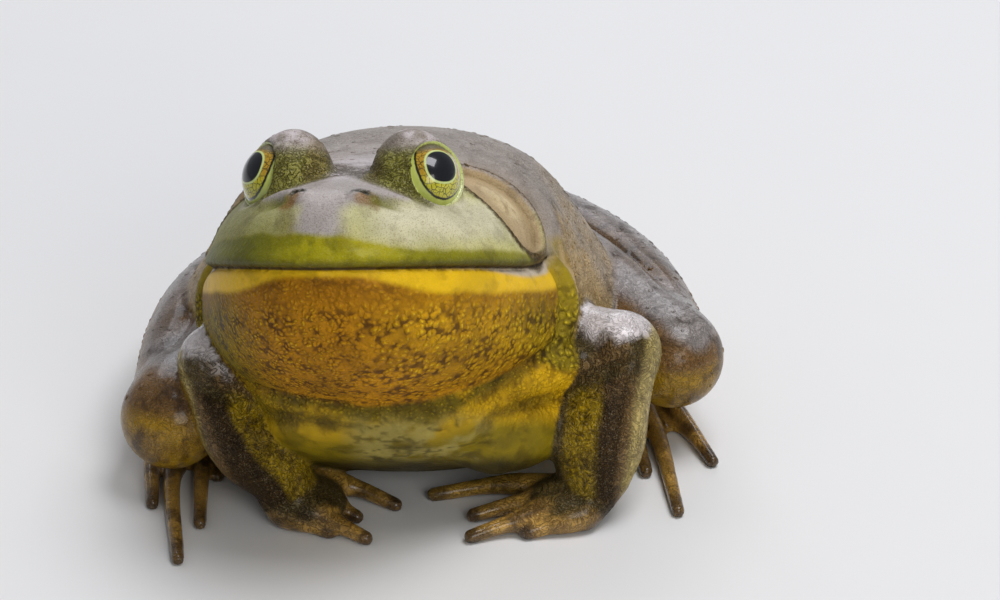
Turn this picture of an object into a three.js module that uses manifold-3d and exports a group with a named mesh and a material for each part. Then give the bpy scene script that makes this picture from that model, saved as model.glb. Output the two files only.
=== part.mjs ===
// An American bullfrog at rest, life size, in solid pieces.
//
// Millimetres, +Z up. The frog faces -Y and its left side is +X. It sits with its
// head raised, its hands turned in under the chest and its hind legs folded, so
// that hands, feet and rump stand on flats in the plane z = 0.
//
// While it is laid out, the origin is the floor point right below the snout. The
// finished group is moved so that the origin is the middle of its base.

import * as THREE from 'three';
import { mergeVertices } from 'three/addons/utils/BufferGeometryUtils.js';
import Module from 'manifold-3d';

const wasm = await Module();
wasm.setup();

// ---------------------------------------------------------------- driving sizes

const JOINT_GAP = 0.3; // left between two pieces of flesh that meet
const DEGREE = Math.PI / 180;
const TINY = 1e-6;

// Head: its frame has the snout at the origin, x to the frog's left, y back along
// the plane of the mouth and z up from it.
const SNOUT_HEIGHT = 62; // of the closed mouth at the snout, above the floor
const NOSE_UP = 30 * DEGREE;
const HEAD_TURN = -12 * DEGREE; // about the head's own z, to the frog's right
const MOUTH_HALF_WIDTH = 29;
const MOUTH_LENGTH = 48; // snout to the corners of the mouth
const HEAD_LENGTH = 55; // snout to where the neck begins
const SKULL_HEIGHT = 20; // mouth plane to the back of the skull
const BLUNT_TIP = 1.2; // half width of the snout's blunt front
const LIP_RISE = 0.15; // of each lip's edge from the plane of the mouth
const LOWER_LIP_INSET = 0.2; // of the lower lip inside the upper one
const LOWER_LIP_FULLNESS = 9; // power of the section between lip and widest jaw
const LOWER_LIP_LEAN = 0.06; // how much narrower the lip is than the jaw below it
const THROAT_FULLNESS = 2.9; // power of the section below the widest jaw
const JAW_START = 0.6; // behind the snout
const HEAD_SIDES = 26; // facets round the skull, the jaw and the trunk
const SKULL_RINGS = 13;
const JAW_RINGS = 12;

const EYE_RADIUS = 6.4;
const EYE_CENTRE = [12.3, 22.9, 14.7]; // left eye, in the head's frame
const EYE_OUTWARD = 46 * DEGREE; // where the eye looks, from straight ahead
const EYE_UPWARD = 14 * DEGREE;
const EYE_SIDES = 14;
const EYE_RINGS = 8;
const LID_OPENING = 5.5; // radius of the gap between the lids
const LID_OPENING_FLARE = 1.1; // how much wider the gap is at its far end
const LID_OPENING_START = 0.35; // share of the eye's radius, from its middle
const LID_DOME_CENTRE = [10.2, 24, 14.2];
const LID_DOME_RADII = [7, 9, 9.2];
const BALL_SIDES = 12; // facets round lid domes, lid openings and palms
const LID_DOME_RINGS = 8;

const EAR_CENTRE = [22.6, 40, 10.4]; // left eardrum, in the head's frame
const EAR_RADIUS = 9.2;
const EAR_DEPTH = 1.9; // of the drum's middle on either side of its centre
const EAR_FACING = [0.69, -0.13, 0.71];
const EAR_SIDES = 14;
const EAR_RINGS = 5;

// Limbs: radii of each length from its upper end to its lower end.
const UPPER_ARM_RADII = [6.6, 7.2, 7.3, 6.8];
const FOREARM_RADII = [6.6, 7, 7.4, 5.4];
const THIGH_RADII = [9, 10.4, 9.9, 8.2];
const SHANK_RADII = [7.8, 8.4, 7.8, 5.8];
const TARSUS_RADII = [5.4, 4.6, 4.4, 4.2];
const PALM_RADII = [7.2, 6.2, 3.8];
const SOLE_RADII = [4.6, 8, 2.9];
const FINGER_RADII = [2.7, 2.1, 1.5, 1.3];
const TOE_RADII = [2.6, 2.1, 1.5, 1.2];
const LIMB_SIDES = 12;
const LIMB_RINGS = 9;
const DIGIT_SIDES = 6;
const DIGIT_RINGS = 6;
const DIGIT_FLATNESS = 0.95; // a digit's height over its width
const PALM_RINGS = 6;
const SOLE_SIDES = 8;
const SOLE_RINGS = 6;
const WEB_THICKNESS = 1;
const WEB_BOTTOM = 0.4; // of the web's underside above the floor
const WEB_CORNER_STEPS = 2; // pieces of each bend in the web's edge
const FLAT_DEPTH = 0.25; // how far a round underside is cut to stand flat

// ------------------------------------------------------------------ flesh tones

const COLOURS = {
  crown: 0x6d6a48,
  throat: 0xb98a1c,
  back: 0x6b5f45,
  limb: 0x57503a,
  digit: 0x6f6130,
  eye: 0xb8a024,
  ear: 0x8a7346,
};

function flesh(colour, roughness = 0.4) {
  return new THREE.MeshStandardMaterial({ color: colour, roughness, metalness: 0 });
}

// ------------------------------------------------------------- curves and rings

// A smooth function through stations [place, value], flat beyond both ends and
// never over-shooting between them.
function through(stations) {
  const slopes = stations.map(([place, value], index) => {
    const before = stations[index - 1];
    const after = stations[index + 1];
    if (!before || !after) {
      const [near, far] = before ? [before, stations[index]] : [stations[index], after];
      return (far[1] - near[1]) / (far[0] - near[0]);
    }
    const rising = (value - before[1]) / (place - before[0]);
    const leaving = (after[1] - value) / (after[0] - place);
    return rising * leaving <= 0 ? 0 : (2 * rising * leaving) / (rising + leaving);
  });
  const last = stations.length - 1;
  return (place) => {
    if (place <= stations[0][0]) return stations[0][1];
    if (place >= stations[last][0]) return stations[last][1];
    const next = stations.findIndex(([station]) => station > place);
    const [start, low] = stations[next - 1];
    const [end, high] = stations[next];
    const span = end - start;
    const part = (place - start) / span;
    const rest = 1 - part;
    return rest * rest * (1 + 2 * part) * low + part * part * (3 - 2 * part) * high
      + part * rest * rest * span * slopes[next - 1] - part * part * rest * span * slopes[next];
  };
}

// A closed surface made from a sphere: the share of the way along from its -Y pole
// and the angle round it are handed to place(), with the pole marked.
function wrap(sides, rings, place) {
  const geometry = new THREE.SphereGeometry(1, sides, rings);
  const position = geometry.attributes.position;
  const onSphere = new THREE.Vector3();
  for (let index = 0; index < position.count; index += 1) {
    onSphere.fromBufferAttribute(position, index);
    const atPole = Math.hypot(onSphere.x, onSphere.z) < TINY;
    const along = (1 + onSphere.y) / 2;
    const isLevel = Math.abs(onSphere.z) < TINY;
    const angle = Math.atan2(isLevel ? 0 : onSphere.z, onSphere.x);
    const point = place(along, angle, atPole);
    position.setXYZ(index, point.x, point.y, point.z);
  }
  return weld(geometry);
}

// Merges the points that faces share, and gives each point one normal.
function weld(geometry) {
  geometry.deleteAttribute('normal');
  geometry.deleteAttribute('uv');
  const welded = mergeVertices(geometry);
  welded.computeVertexNormals();
  return welded;
}

// A body of upright sections along y. A section has a middle, a half width, a top
// and a bottom. Its upper edge is fuller with a higher power and leans in by taper.
function sectionedBody({ start, end, sides, rings, sectionAt }) {
  return wrap(sides, rings, (along, angle, atPole) => {
    const y = THREE.MathUtils.lerp(start, end, along);
    const section = sectionAt(y);
    if (atPole) return new THREE.Vector3(section.x, y, section.middle);
    const rise = Math.sin(angle);
    const isUpper = rise > 0;
    const power = isUpper ? section.upperPower : section.lowerPower;
    const height = Math.abs(rise) ** (2 / power);
    const lean = isUpper ? 1 - section.taper * height : 1;
    const edge = isUpper ? section.top : section.bottom;
    return new THREE.Vector3(
      section.x + section.half * lean * Math.cos(angle),
      y,
      THREE.MathUtils.lerp(section.middle, edge, height),
    );
  });
}

// A limb along a curve, with a round cap beyond each end. Its radii are spread
// evenly over its length, and flatness is its height over its width.
function limb(points, radii, { sides = LIMB_SIDES, rings = LIMB_RINGS, flatness = 1 } = {}) {
  const spine = new THREE.CatmullRomCurve3(points.map((point) => new THREE.Vector3(...point)));
  const length = spine.getLength();
  const radiusAt = through(radii.map((radius, index) => [index / (radii.length - 1), radius]));
  const firstCap = radii[0];
  const lastCap = radii[radii.length - 1];
  const upright = new THREE.Vector3(0, 0, 1);
  return wrap(sides, rings, (along, angle) => {
    const place = THREE.MathUtils.lerp(-firstCap, length + lastCap, along);
    const share = THREE.MathUtils.clamp(place / length, 0, 1);
    const beyond = place - share * length;
    const cap = beyond < 0 ? firstCap : lastCap;
    const swell = Math.sqrt(Math.max(0, 1 - (beyond / cap) ** 2));
    const radius = swell * radiusAt(share);
    const forward = spine.getTangentAt(share);
    const side = forward.clone().cross(upright).normalize();
    const up = side.clone().cross(forward);
    return spine.getPointAt(share)
      .addScaledVector(forward, beyond)
      .addScaledVector(side, radius * Math.cos(angle))
      .addScaledVector(up, radius * flatness * Math.sin(angle));
  });
}

function ellipsoid(centre, radii, sides, rings) {
  const geometry = new THREE.SphereGeometry(1, sides, rings);
  geometry.scale(...radii);
  geometry.translate(...centre);
  return weld(geometry);
}

// ----------------------------------------------------------------- solid pieces

function solidOf(geometry) {
  const welded = mergeVertices(geometry);
  return new wasm.Manifold(new wasm.Mesh({
    numProp: 3,
    vertProperties: new Float32Array(welded.attributes.position.array),
    triVerts: new Uint32Array(welded.index.array),
  }));
}

function geometryOf(solid) {
  const { vertProperties, triVerts } = solid.getMesh();
  const geometry = new THREE.BufferGeometry();
  geometry.setAttribute('position', new THREE.BufferAttribute(vertProperties, 3));
  geometry.setIndex(new THREE.BufferAttribute(triVerts, 1));
  geometry.computeVertexNormals();
  return geometry;
}

// A copy whose every point is pushed out along its normal.
function grown(geometry, growth) {
  const copy = geometry.clone();
  const { position, normal } = copy.attributes;
  for (let index = 0; index < position.count; index += 1) {
    position.setXYZ(
      index,
      position.getX(index) + growth * normal.getX(index),
      position.getY(index) + growth * normal.getY(index),
      position.getZ(index) + growth * normal.getZ(index),
    );
  }
  return copy;
}

const pieces = new Map();

// A named piece: shapes joined together, in its own group's frame. What is cut out
// of it follows once every piece has its place.
function addPiece(group, name, material, shapes, cuts = []) {
  const mesh = new THREE.Mesh(shapes[0], material);
  mesh.name = name;
  group.add(mesh);
  pieces.set(name, { mesh, shapes, cuts });
  return mesh;
}

// A piece's shapes as one solid in the frog's frame, each grown first.
function joined(mesh, shapes, growth) {
  return shapes
    .map((shape) => (growth > 0 ? grown(shape, growth) : shape.clone()))
    .map((shape) => solidOf(shape.applyMatrix4(mesh.matrixWorld)))
    .reduce((whole, solid) => whole.add(solid));
}

function largestBody(solid) {
  return solid.decompose().reduce((best, body) => (body.volume() > best.volume() ? body : best));
}

// Cuts a piece to its neighbours: each one named is carved out with the gap, and so
// are the piece's own cuts.
function carve(name, neighbours) {
  const { mesh, shapes, cuts } = pieces.get(name);
  let solid = joined(mesh, shapes, 0);
  neighbours.forEach((neighbour) => {
    const other = pieces.get(neighbour);
    solid = solid.subtract(joined(other.mesh, other.shapes, JOINT_GAP));
  });
  cuts.forEach((cut) => {
    solid = solid.subtract(solidOf(cut.clone().applyMatrix4(mesh.matrixWorld)));
  });
  const geometry = geometryOf(largestBody(solid));
  mesh.geometry = geometry.applyMatrix4(mesh.matrixWorld.clone().invert());
}

// ------------------------------------------------------------------------- head

const mirrored = ([x, y, z]) => [-x, y, z];
const sidePoint = (point, isLeft) => (isLeft ? point : mirrored(point));

// Half the width of the mouth's outline, which is half an ellipse in plan.
function mouthHalfWidth(y) {
  const ahead = Math.max(0, 1 - y / MOUTH_LENGTH);
  return Math.max(BLUNT_TIP, MOUTH_HALF_WIDTH * Math.sqrt(1 - ahead * ahead));
}

const crownHeight = through([
  [0, 3], [0.8, 6], [3, 9.8], [7, 12.6], [14, 14.6], [24, 16.2], [36, 18.4], [48, SKULL_HEIGHT],
  [HEAD_LENGTH, SKULL_HEIGHT],
]);
const skullFullness = through([[12, 2.25], [34, 3.2]]);
const skullLean = through([[12, 0.08], [34, 0.18]]);
const cheekSwell = through([[0, 0], [40, 0.2], [HEAD_LENGTH, 1.4]]);
const jawSwell = through([[0, 0], [28, 0.4], [40, 1.8], [50, 3.8], [HEAD_LENGTH, 4]]);
const jawWidestDepth = through([[0, 0.2], [20, 1], [44, 5], [HEAD_LENGTH, 6]]);

function headSection(y) {
  return {
    x: 0,
    half: mouthHalfWidth(y) + cheekSwell(y),
    top: crownHeight(y),
    middle: LIP_RISE,
    bottom: LIP_RISE,
    upperPower: skullFullness(y),
    lowerPower: 2,
    taper: skullLean(y),
  };
}

const throatDepth = through([
  [JAW_START, 2.5], [2, 7.5], [5, 13], [10, 17.8], [18, 21.2], [30, 23.6], [44, 24], [HEAD_LENGTH, 22],
]);

function jawSection(y) {
  return {
    x: 0,
    half: mouthHalfWidth(y) - LOWER_LIP_INSET + jawSwell(y),
    top: -LIP_RISE,
    middle: -jawWidestDepth(y),
    bottom: -throatDepth(y),
    upperPower: LOWER_LIP_FULLNESS,
    lowerPower: THROAT_FULLNESS,
    taper: LOWER_LIP_LEAN,
  };
}

const eyeDirection = new THREE.Vector3(
  Math.sin(EYE_OUTWARD) * Math.cos(EYE_UPWARD),
  -Math.cos(EYE_OUTWARD) * Math.cos(EYE_UPWARD),
  Math.sin(EYE_UPWARD),
);

// Turns a shape that faces +Y to face a direction, and moves it to a point.
function placed(geometry, direction, point) {
  const ahead = new THREE.Vector3(0, 1, 0);
  const facing = new THREE.Vector3(...direction).normalize();
  geometry.applyQuaternion(new THREE.Quaternion().setFromUnitVectors(ahead, facing));
  geometry.translate(...point);
  return weld(geometry);
}

// The round gap between the lids, from near the middle of the eye outwards.
function lidOpening(isLeft) {
  const reach = 2 * EYE_RADIUS;
  const opening = new THREE.CylinderGeometry(
    LID_OPENING * LID_OPENING_FLARE, LID_OPENING, reach, BALL_SIDES,
  );
  opening.translate(0, reach / 2 + LID_OPENING_START * EYE_RADIUS, 0);
  const gaze = sidePoint(eyeDirection.toArray(), isLeft);
  return placed(opening, gaze, sidePoint(EYE_CENTRE, isLeft));
}

function eardrum(isLeft) {
  const disc = new THREE.SphereGeometry(1, EAR_SIDES, EAR_RINGS);
  disc.scale(EAR_RADIUS, EAR_DEPTH, EAR_RADIUS);
  return placed(disc, sidePoint(EAR_FACING, isLeft), sidePoint(EAR_CENTRE, isLeft));
}

function addHead(frog) {
  const head = new THREE.Group();
  head.position.set(0, 0, SNOUT_HEIGHT);
  head.rotation.set(-NOSE_UP, 0, HEAD_TURN);
  frog.add(head);

  const sides = [[true, 'left'], [false, 'right']];
  sides.forEach(([isLeft, side]) => {
    const radii = [EYE_RADIUS, EYE_RADIUS, EYE_RADIUS];
    const eyeball = ellipsoid([0, 0, 0], radii, EYE_SIDES, EYE_RINGS);
    const eye = addPiece(head, `eye_${side}`, flesh(COLOURS.eye, 0.1), [eyeball]);
    eye.position.set(...sidePoint(EYE_CENTRE, isLeft));
    addPiece(head, `tympanum_${side}`, flesh(COLOURS.ear), [eardrum(isLeft)]);
  });

  const skull = sectionedBody({
    start: 0, end: HEAD_LENGTH, sides: HEAD_SIDES, rings: SKULL_RINGS, sectionAt: headSection,
  });
  const domes = sides.map(([isLeft]) => (
    ellipsoid(sidePoint(LID_DOME_CENTRE, isLeft), LID_DOME_RADII, BALL_SIDES, LID_DOME_RINGS)
  ));
  const openings = sides.map(([isLeft]) => lidOpening(isLeft));
  addPiece(head, 'head', flesh(COLOURS.crown), [skull, ...domes], openings);

  const jaw = sectionedBody({
    start: JAW_START, end: HEAD_LENGTH, sides: HEAD_SIDES, rings: JAW_RINGS, sectionAt: jawSection,
  });
  addPiece(head, 'lower_jaw', flesh(COLOURS.throat), [jaw]);
}

// ------------------------------------------------------------------------ trunk

const TRUNK_START = 10;
const TRUNK_END = 124;
const TRUNK_RINGS = 16;
const BELLY_FULLNESS = 4.2; // power of the lower half of every section
const trunkShape = {
  x: through([[TRUNK_START, 10], [30, 13.4], [60, 13.6], [TRUNK_END, 14.2]]),
  half: through([
    [TRUNK_START, 6], [13, 15.5], [20, 22], [30, 27], [38, 30.5], [46, 34], [56, 37.8],
    [64, 38.4], [75, 35], [86, 28.5], [98, 21.5], [110, 15.5], [119, 9.5], [TRUNK_END, 3],
  ]),
  top: through([
    [TRUNK_START, 31], [20, 40], [30, 45.5], [40, 50.6], [52, 54.6], [60, 53.6], [72, 49],
    [85, 41], [100, 30.5], [112, 21], [120, 13.5], [TRUNK_END, 9],
  ]),
  bottom: through([
    [TRUNK_START, 26], [13, 19.5], [18, 13.5], [25, 7.6], [32, 3.6], [46, 1.6], [64, -FLAT_DEPTH],
    [108, -FLAT_DEPTH], [117, 2], [TRUNK_END, 6],
  ]),
  middle: through([
    [TRUNK_START, 28], [20, 25], [35, 24], [60, 23], [76, 18], [90, 14], [TRUNK_END, 8],
  ]),
  upperPower: through([[38, 2.4], [58, 9], [85, 7], [110, 2.4]]),
  taper: through([[38, 0.05], [58, 0.48], [85, 0.42], [110, 0.1]]),
};

function trunkSection(y) {
  const section = Object.fromEntries(
    Object.entries(trunkShape).map(([field, valueAt]) => [field, valueAt(y)]),
  );
  return { ...section, lowerPower: BELLY_FULLNESS };
}

// What lies under the floor, to cut undersides flat.
const SLAB_WIDTH = 400;
const SLAB_DEPTH = 20;
const floorSlab = new THREE.BoxGeometry(SLAB_WIDTH, SLAB_WIDTH, SLAB_DEPTH);
floorSlab.translate(0, (TRUNK_START + TRUNK_END) / 2, -SLAB_DEPTH / 2);
const belowFloor = weld(floorSlab);

function addTrunk(frog) {
  const trunk = sectionedBody({
    start: TRUNK_START,
    end: TRUNK_END,
    sides: HEAD_SIDES,
    rings: TRUNK_RINGS,
    sectionAt: trunkSection,
  });
  addPiece(frog, 'trunk', flesh(COLOURS.back), [trunk], [belowFloor]);
}

// ------------------------------------------------------------------- fore limbs

const ARMS = {
  left: {
    shoulder: [31, 47, 16],
    elbow: [50.4, 34, 26],
    wrist: [47, 23.2, 8.4],
    palm: [41.6, 21.8, 3.3],
    upperBow: [0.5, 0, 2],
    lowerBow: [-0.8, -0.4, -0.4],
    fingers: [
      [[41, 25.5, 3.4], [31, 29, 2.4], [18.4, 27.8, 1.05]],
      [[39, 22, 2.8], [32, 22.4, 2.2], [25.2, 21, 1.05]],
      [[39, 19, 2.8], [31, 16.4, 2.1], [24.8, 14, 1.05]],
      [[44, 18.6, 2.6], [39.5, 16.6, 2], [34.5, 15.2, 1.05]],
    ],
  },
  right: {
    shoulder: [-2, 45, 17],
    elbow: [-18.4, 31, 25.2],
    wrist: [-8, 22.4, 8.6],
    palm: [-3.8, 22, 3.3],
    upperBow: [-0.5, 0, 2],
    lowerBow: [-1.6, -0.6, -0.6],
    fingers: [
      [[-4, 26, 4.4], [4.6, 27.6, 2.6], [11.8, 24.4, 1.05]],
      [[-3, 22, 2.8], [1, 22.4, 2.2], [5.2, 20.4, 1.05]],
      [[-3, 19.4, 2.8], [2.2, 16.2, 2.1], [6.9, 13.4, 1.05]],
      [[-7, 19.4, 2.6], [-3.4, 17.4, 2], [0.4, 15.6, 1.05]],
    ],
  },
};

const between = (from, to) => to.map((value, axis) => value - from[axis]);
const halfway = (from, to, bow) => to.map((value, axis) => (value + from[axis]) / 2 + bow[axis]);

// A group at a joint, inside the group of the joint above it.
function jointGroup(parent, parentPoint, point) {
  const group = new THREE.Group();
  group.position.set(...between(parentPoint, point));
  parent.add(group);
  return group;
}

// A length of limb from one joint to the next, in the first joint's group.
function segment(from, to, bow, radii) {
  const middle = halfway(from, to, bow);
  return limb([[0, 0, 0], between(from, middle), between(from, to)], radii);
}

function digit(base, path, radii) {
  const local = path.map((point) => between(base, point));
  return limb(local, radii, { sides: DIGIT_SIDES, rings: DIGIT_RINGS, flatness: DIGIT_FLATNESS });
}

function slabBelow(point) {
  const slab = belowFloor.clone();
  slab.translate(-point[0], -point[1], -point[2]);
  return slab;
}

function addArm(frog, side) {
  const arm = ARMS[side];
  const shoulder = jointGroup(frog, [0, 0, 0], arm.shoulder);
  const elbow = jointGroup(shoulder, arm.shoulder, arm.elbow);
  const wrist = jointGroup(elbow, arm.elbow, arm.wrist);

  const upperArm = segment(arm.shoulder, arm.elbow, arm.upperBow, UPPER_ARM_RADII);
  addPiece(shoulder, `upper_arm_${side}`, flesh(COLOURS.limb), [upperArm]);

  const forearm = segment(arm.elbow, arm.wrist, arm.lowerBow, FOREARM_RADII);
  addPiece(elbow, `forearm_${side}`, flesh(COLOURS.limb), [forearm]);

  const palm = ellipsoid(between(arm.wrist, arm.palm), PALM_RADII, BALL_SIDES, PALM_RINGS);
  const fingers = arm.fingers.map((path) => digit(arm.wrist, path, FINGER_RADII));
  const belowHand = slabBelow(arm.wrist);
  addPiece(wrist, `hand_${side}`, flesh(COLOURS.digit), [palm, ...fingers], [belowHand]);
}

// ------------------------------------------------------------------- hind limbs

const LEGS = {
  left: {
    hip: [21, 100, 15],
    knee: [59.6, 46.8, 17.4],
    ankle: [34, 109, 12.2],
    heel: [47, 80, 4],
    thighBow: [0.6, 0.6, 0.9],
    shankBow: [3.8, 3.2, -0.6],
    tarsusBow: [1, 1, -1.2],
    toes: [
      [[46, 74, 2.6], [44, 63, 2.2], [42, 54, 0.95]],
      [[47, 74, 2.6], [47.5, 58, 2.2], [47.5, 44, 0.95]],
      [[48, 74, 2.6], [52, 54, 2.2], [55, 35.5, 0.95]],
      [[49, 74, 2.6], [56.5, 49, 2.2], [60.3, 22.5, 0.95]],
      [[50, 75, 2.6], [60, 56, 2.2], [66.5, 39, 0.95]],
    ],
  },
  right: {
    hip: [9, 98, 15],
    knee: [-26.6, 33, 13.4],
    ankle: [-6, 100, 11.6],
    heel: [-18.5, 70, 4],
    thighBow: [-1, 1.5, 1.5],
    shankBow: [-5.4, 0, 1.8],
    tarsusBow: [-1, 1, -1.2],
    toes: [
      [[-17, 64, 2.6], [-16, 53, 2.2], [-14.5, 44.5, 0.95]],
      [[-18, 64, 2.6], [-18.5, 48, 2.2], [-19, 34, 0.95]],
      [[-18.5, 64, 2.6], [-21.5, 40, 2.2], [-21.6, 18.5, 0.95]],
      [[-19.5, 64, 2.6], [-26.5, 36, 2.2], [-25, 7, 0.95]],
      [[-20.5, 65, 2.6], [-30, 44, 2.2], [-30, 25, 0.95]],
    ],
  },
};

const WEB_REACH = [0.92, 0.86, 0.78, 0.62, 0.9]; // share of each toe, inner to outer
const WEB_DIP = 0.16; // how far the web's edge is drawn back between two toes
const WEB_ROOT = [0.3, 0.6]; // shares of the outer toes that the web's edge follows

// A thin sheet from toe to toe. Its front edge is drawn back between the tips.
function footWeb(base, toes) {
  const curves = toes.map((path) => (
    new THREE.CatmullRomCurve3(path.map((point) => new THREE.Vector3(...between(base, point))))
  ));
  const flatPoint = (curve, share) => {
    const point = curve.getPoint(share);
    return new THREE.Vector2(point.x, point.y);
  };
  const outline = new THREE.Shape();
  const first = flatPoint(curves[0], 0);
  outline.moveTo(first.x, first.y);
  outline.splineThru([...WEB_ROOT, WEB_REACH[0]].map((share) => flatPoint(curves[0], share)));
  for (let index = 1; index < curves.length; index += 1) {
    const before = flatPoint(curves[index - 1], WEB_REACH[index - 1] - WEB_DIP);
    const after = flatPoint(curves[index], WEB_REACH[index] - WEB_DIP);
    const dip = before.lerp(after, 0.5);
    outline.splineThru([dip, flatPoint(curves[index], WEB_REACH[index])]);
  }
  const outer = curves[curves.length - 1];
  outline.splineThru([0, ...WEB_ROOT].reverse().map((share) => flatPoint(outer, share)));
  outline.lineTo(first.x, first.y);
  const sheet = new THREE.ExtrudeGeometry(outline, {
    depth: WEB_THICKNESS, bevelEnabled: false, curveSegments: WEB_CORNER_STEPS,
  });
  sheet.translate(0, 0, WEB_BOTTOM - base[2]);
  return weld(sheet);
}

function addLeg(frog, side) {
  const leg = LEGS[side];
  const hip = jointGroup(frog, [0, 0, 0], leg.hip);
  const knee = jointGroup(hip, leg.hip, leg.knee);
  const ankle = jointGroup(knee, leg.knee, leg.ankle);
  const heel = jointGroup(ankle, leg.ankle, leg.heel);

  const thigh = segment(leg.hip, leg.knee, leg.thighBow, THIGH_RADII);
  addPiece(hip, `thigh_${side}`, flesh(COLOURS.limb), [thigh]);

  const shank = segment(leg.knee, leg.ankle, leg.shankBow, SHANK_RADII);
  addPiece(knee, `shank_${side}`, flesh(COLOURS.limb), [shank]);

  const tarsus = segment(leg.ankle, leg.heel, leg.tarsusBow, TARSUS_RADII);
  addPiece(ankle, `tarsus_${side}`, flesh(COLOURS.limb), [tarsus], [slabBelow(leg.ankle)]);

  const sole = ellipsoid(between(leg.heel, leg.toes[2][0]), SOLE_RADII, SOLE_SIDES, SOLE_RINGS);
  const toes = leg.toes.map((path) => digit(leg.heel, path, TOE_RADII));
  const web = footWeb(leg.heel, leg.toes);
  const belowFoot = slabBelow(leg.heel);
  addPiece(heel, `foot_${side}`, flesh(COLOURS.digit), [sole, ...toes, web], [belowFoot]);
}

// --------------------------------------------------------------------- assembly

const frog = new THREE.Group();
addHead(frog);
addTrunk(frog);
['left', 'right'].forEach((side) => {
  addArm(frog, side);
  addLeg(frog, side);
});
frog.updateMatrixWorld(true);

['left', 'right'].forEach((side) => {
  carve(`eye_${side}`, []);
  carve(`tympanum_${side}`, []);
});
carve('head', ['eye_left', 'eye_right', 'tympanum_left', 'tympanum_right']);
carve('lower_jaw', []);
carve('trunk', ['head', 'lower_jaw']);
['left', 'right'].forEach((side) => {
  const body = ['head', 'lower_jaw', 'trunk'];
  const arm = [`upper_arm_${side}`, `forearm_${side}`, `hand_${side}`];
  const leg = [`thigh_${side}`, `shank_${side}`, `tarsus_${side}`, `foot_${side}`];
  const limbs = [...arm, ...leg];
  limbs.forEach((name, index) => carve(name, [...body, ...limbs.slice(0, index)]));
});

const bounds = new THREE.Box3().setFromObject(frog, true);
const middle = bounds.getCenter(new THREE.Vector3());
frog.position.set(-middle.x, -middle.y, -bounds.min.z);

export default frog;
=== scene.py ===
"""An American bullfrog at rest: one wet skin and two eyes over the solid model.

The skin is worked out as a field of distances to the frog's outline, from the same
named sizes as the solids, and is turned into one closed surface. Folds, lips, lids,
nostrils and eardrums are carved into that field. Sizes are millimetres in the
laying-out frame, whose origin is the floor point below the snout, until a mesh is
made; a mesh is metres in the model's frame.
"""
import itertools
import logging
import math
from dataclasses import dataclass, field, fields, replace
from enum import Enum
from typing import NamedTuple, Sequence

import bpy
import numpy as np
from mathutils import Euler, Matrix, Vector


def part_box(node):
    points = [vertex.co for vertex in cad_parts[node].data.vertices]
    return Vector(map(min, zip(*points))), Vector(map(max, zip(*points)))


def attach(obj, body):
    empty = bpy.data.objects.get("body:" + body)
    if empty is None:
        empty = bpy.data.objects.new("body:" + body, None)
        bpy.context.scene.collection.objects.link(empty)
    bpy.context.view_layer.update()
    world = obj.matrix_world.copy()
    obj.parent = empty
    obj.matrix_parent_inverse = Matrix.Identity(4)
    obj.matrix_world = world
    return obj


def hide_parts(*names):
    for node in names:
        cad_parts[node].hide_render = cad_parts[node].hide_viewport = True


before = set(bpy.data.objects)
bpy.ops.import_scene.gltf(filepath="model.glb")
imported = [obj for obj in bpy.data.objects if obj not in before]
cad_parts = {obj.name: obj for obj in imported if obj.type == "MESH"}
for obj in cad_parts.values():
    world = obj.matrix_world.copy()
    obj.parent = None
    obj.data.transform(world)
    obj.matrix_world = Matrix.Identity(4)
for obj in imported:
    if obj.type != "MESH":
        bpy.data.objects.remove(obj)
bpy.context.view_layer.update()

Array = np.ndarray
Point = tuple[float, float, float]
Colour = tuple[float, float, float]
Line = tuple[Point, ...]
Radii = tuple[float, ...]
Places = tuple[Array, Array, Array]
Pair = tuple[Array, Array]
Amount = float | Array
Window = tuple[slice, ...]
Socket = bpy.types.NodeSocket
Material = bpy.types.Material
Object = bpy.types.Object

LOG = logging.getLogger("bullfrog")
MM = 0.001
FAR = 20.0
REACH = 7.0
FAR_FROM_LIPS = 9.0
ALL = (slice(None),) * 3
CORNERS = tuple(itertools.product((0, 1), repeat=3))
GRAINS = ("grain", "coarse", "stipple", "mottle", "wet", "wrinkle")
ROOT = "root"


class Side(Enum):
    """The frog's own left or right."""

    LEFT = 1.0
    RIGHT = -1.0

    @property
    def word(self) -> str:
        """The side's name as the solid model's nodes have it."""
        return self.name.lower()

    def of(self, place: Point) -> Point:
        """Returns: a place or direction of the left half, on this side."""
        return (self.value * place[0], *place[1:])


# ---- small maths


class Profile:
    """A smooth value along stations, flat beyond its ends, never over-shooting."""

    def __init__(self, *stations: tuple[float, float]) -> None:
        """Works out the slopes and keeps a fine table of values.

        Args:
            stations: pairs of place and value, in rising places.
        """
        places, values = np.array(stations, float).T
        secants = np.diff(values) / np.diff(places)
        slopes = np.concatenate([secants[:1], np.zeros(len(places) - 2), secants[-1:]])
        for i, (a, b) in enumerate(zip(secants, secants[1:]), 1):
            slopes[i] = 2 * a * b / (a + b) if a * b > 0 else 0.0
        self.grid = np.linspace(places[0], places[-1], 1500)
        at = np.clip(np.searchsorted(places, self.grid, side="right") - 1, 0, len(places) - 2)
        span = places[at + 1] - places[at]
        t = (self.grid - places[at]) / span
        r = 1 - t
        self.table = (
            r * r * (1 + 2 * t) * values[at] + t * t * (3 - 2 * t) * values[at + 1]
            + t * r * r * span * slopes[at] - t * t * r * span * slopes[at + 1]
        )

    def __call__(self, place: Array) -> Array:
        """Returns: the value at each place."""
        return np.interp(place, self.grid, self.table).astype(np.float32)


def profile(*stations: tuple[float, float]) -> Profile:
    """Returns: a dataclass field that holds a profile."""
    return field(default_factory=lambda: Profile(*stations))


def ease(low: Amount, high: Amount, value: Array) -> Array:
    """Returns: a smooth step that is 0 at low and 1 at high, whichever is greater."""
    t = np.clip((value - low) / (high - low), 0.0, 1.0)
    return t * t * (3 - 2 * t)


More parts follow.
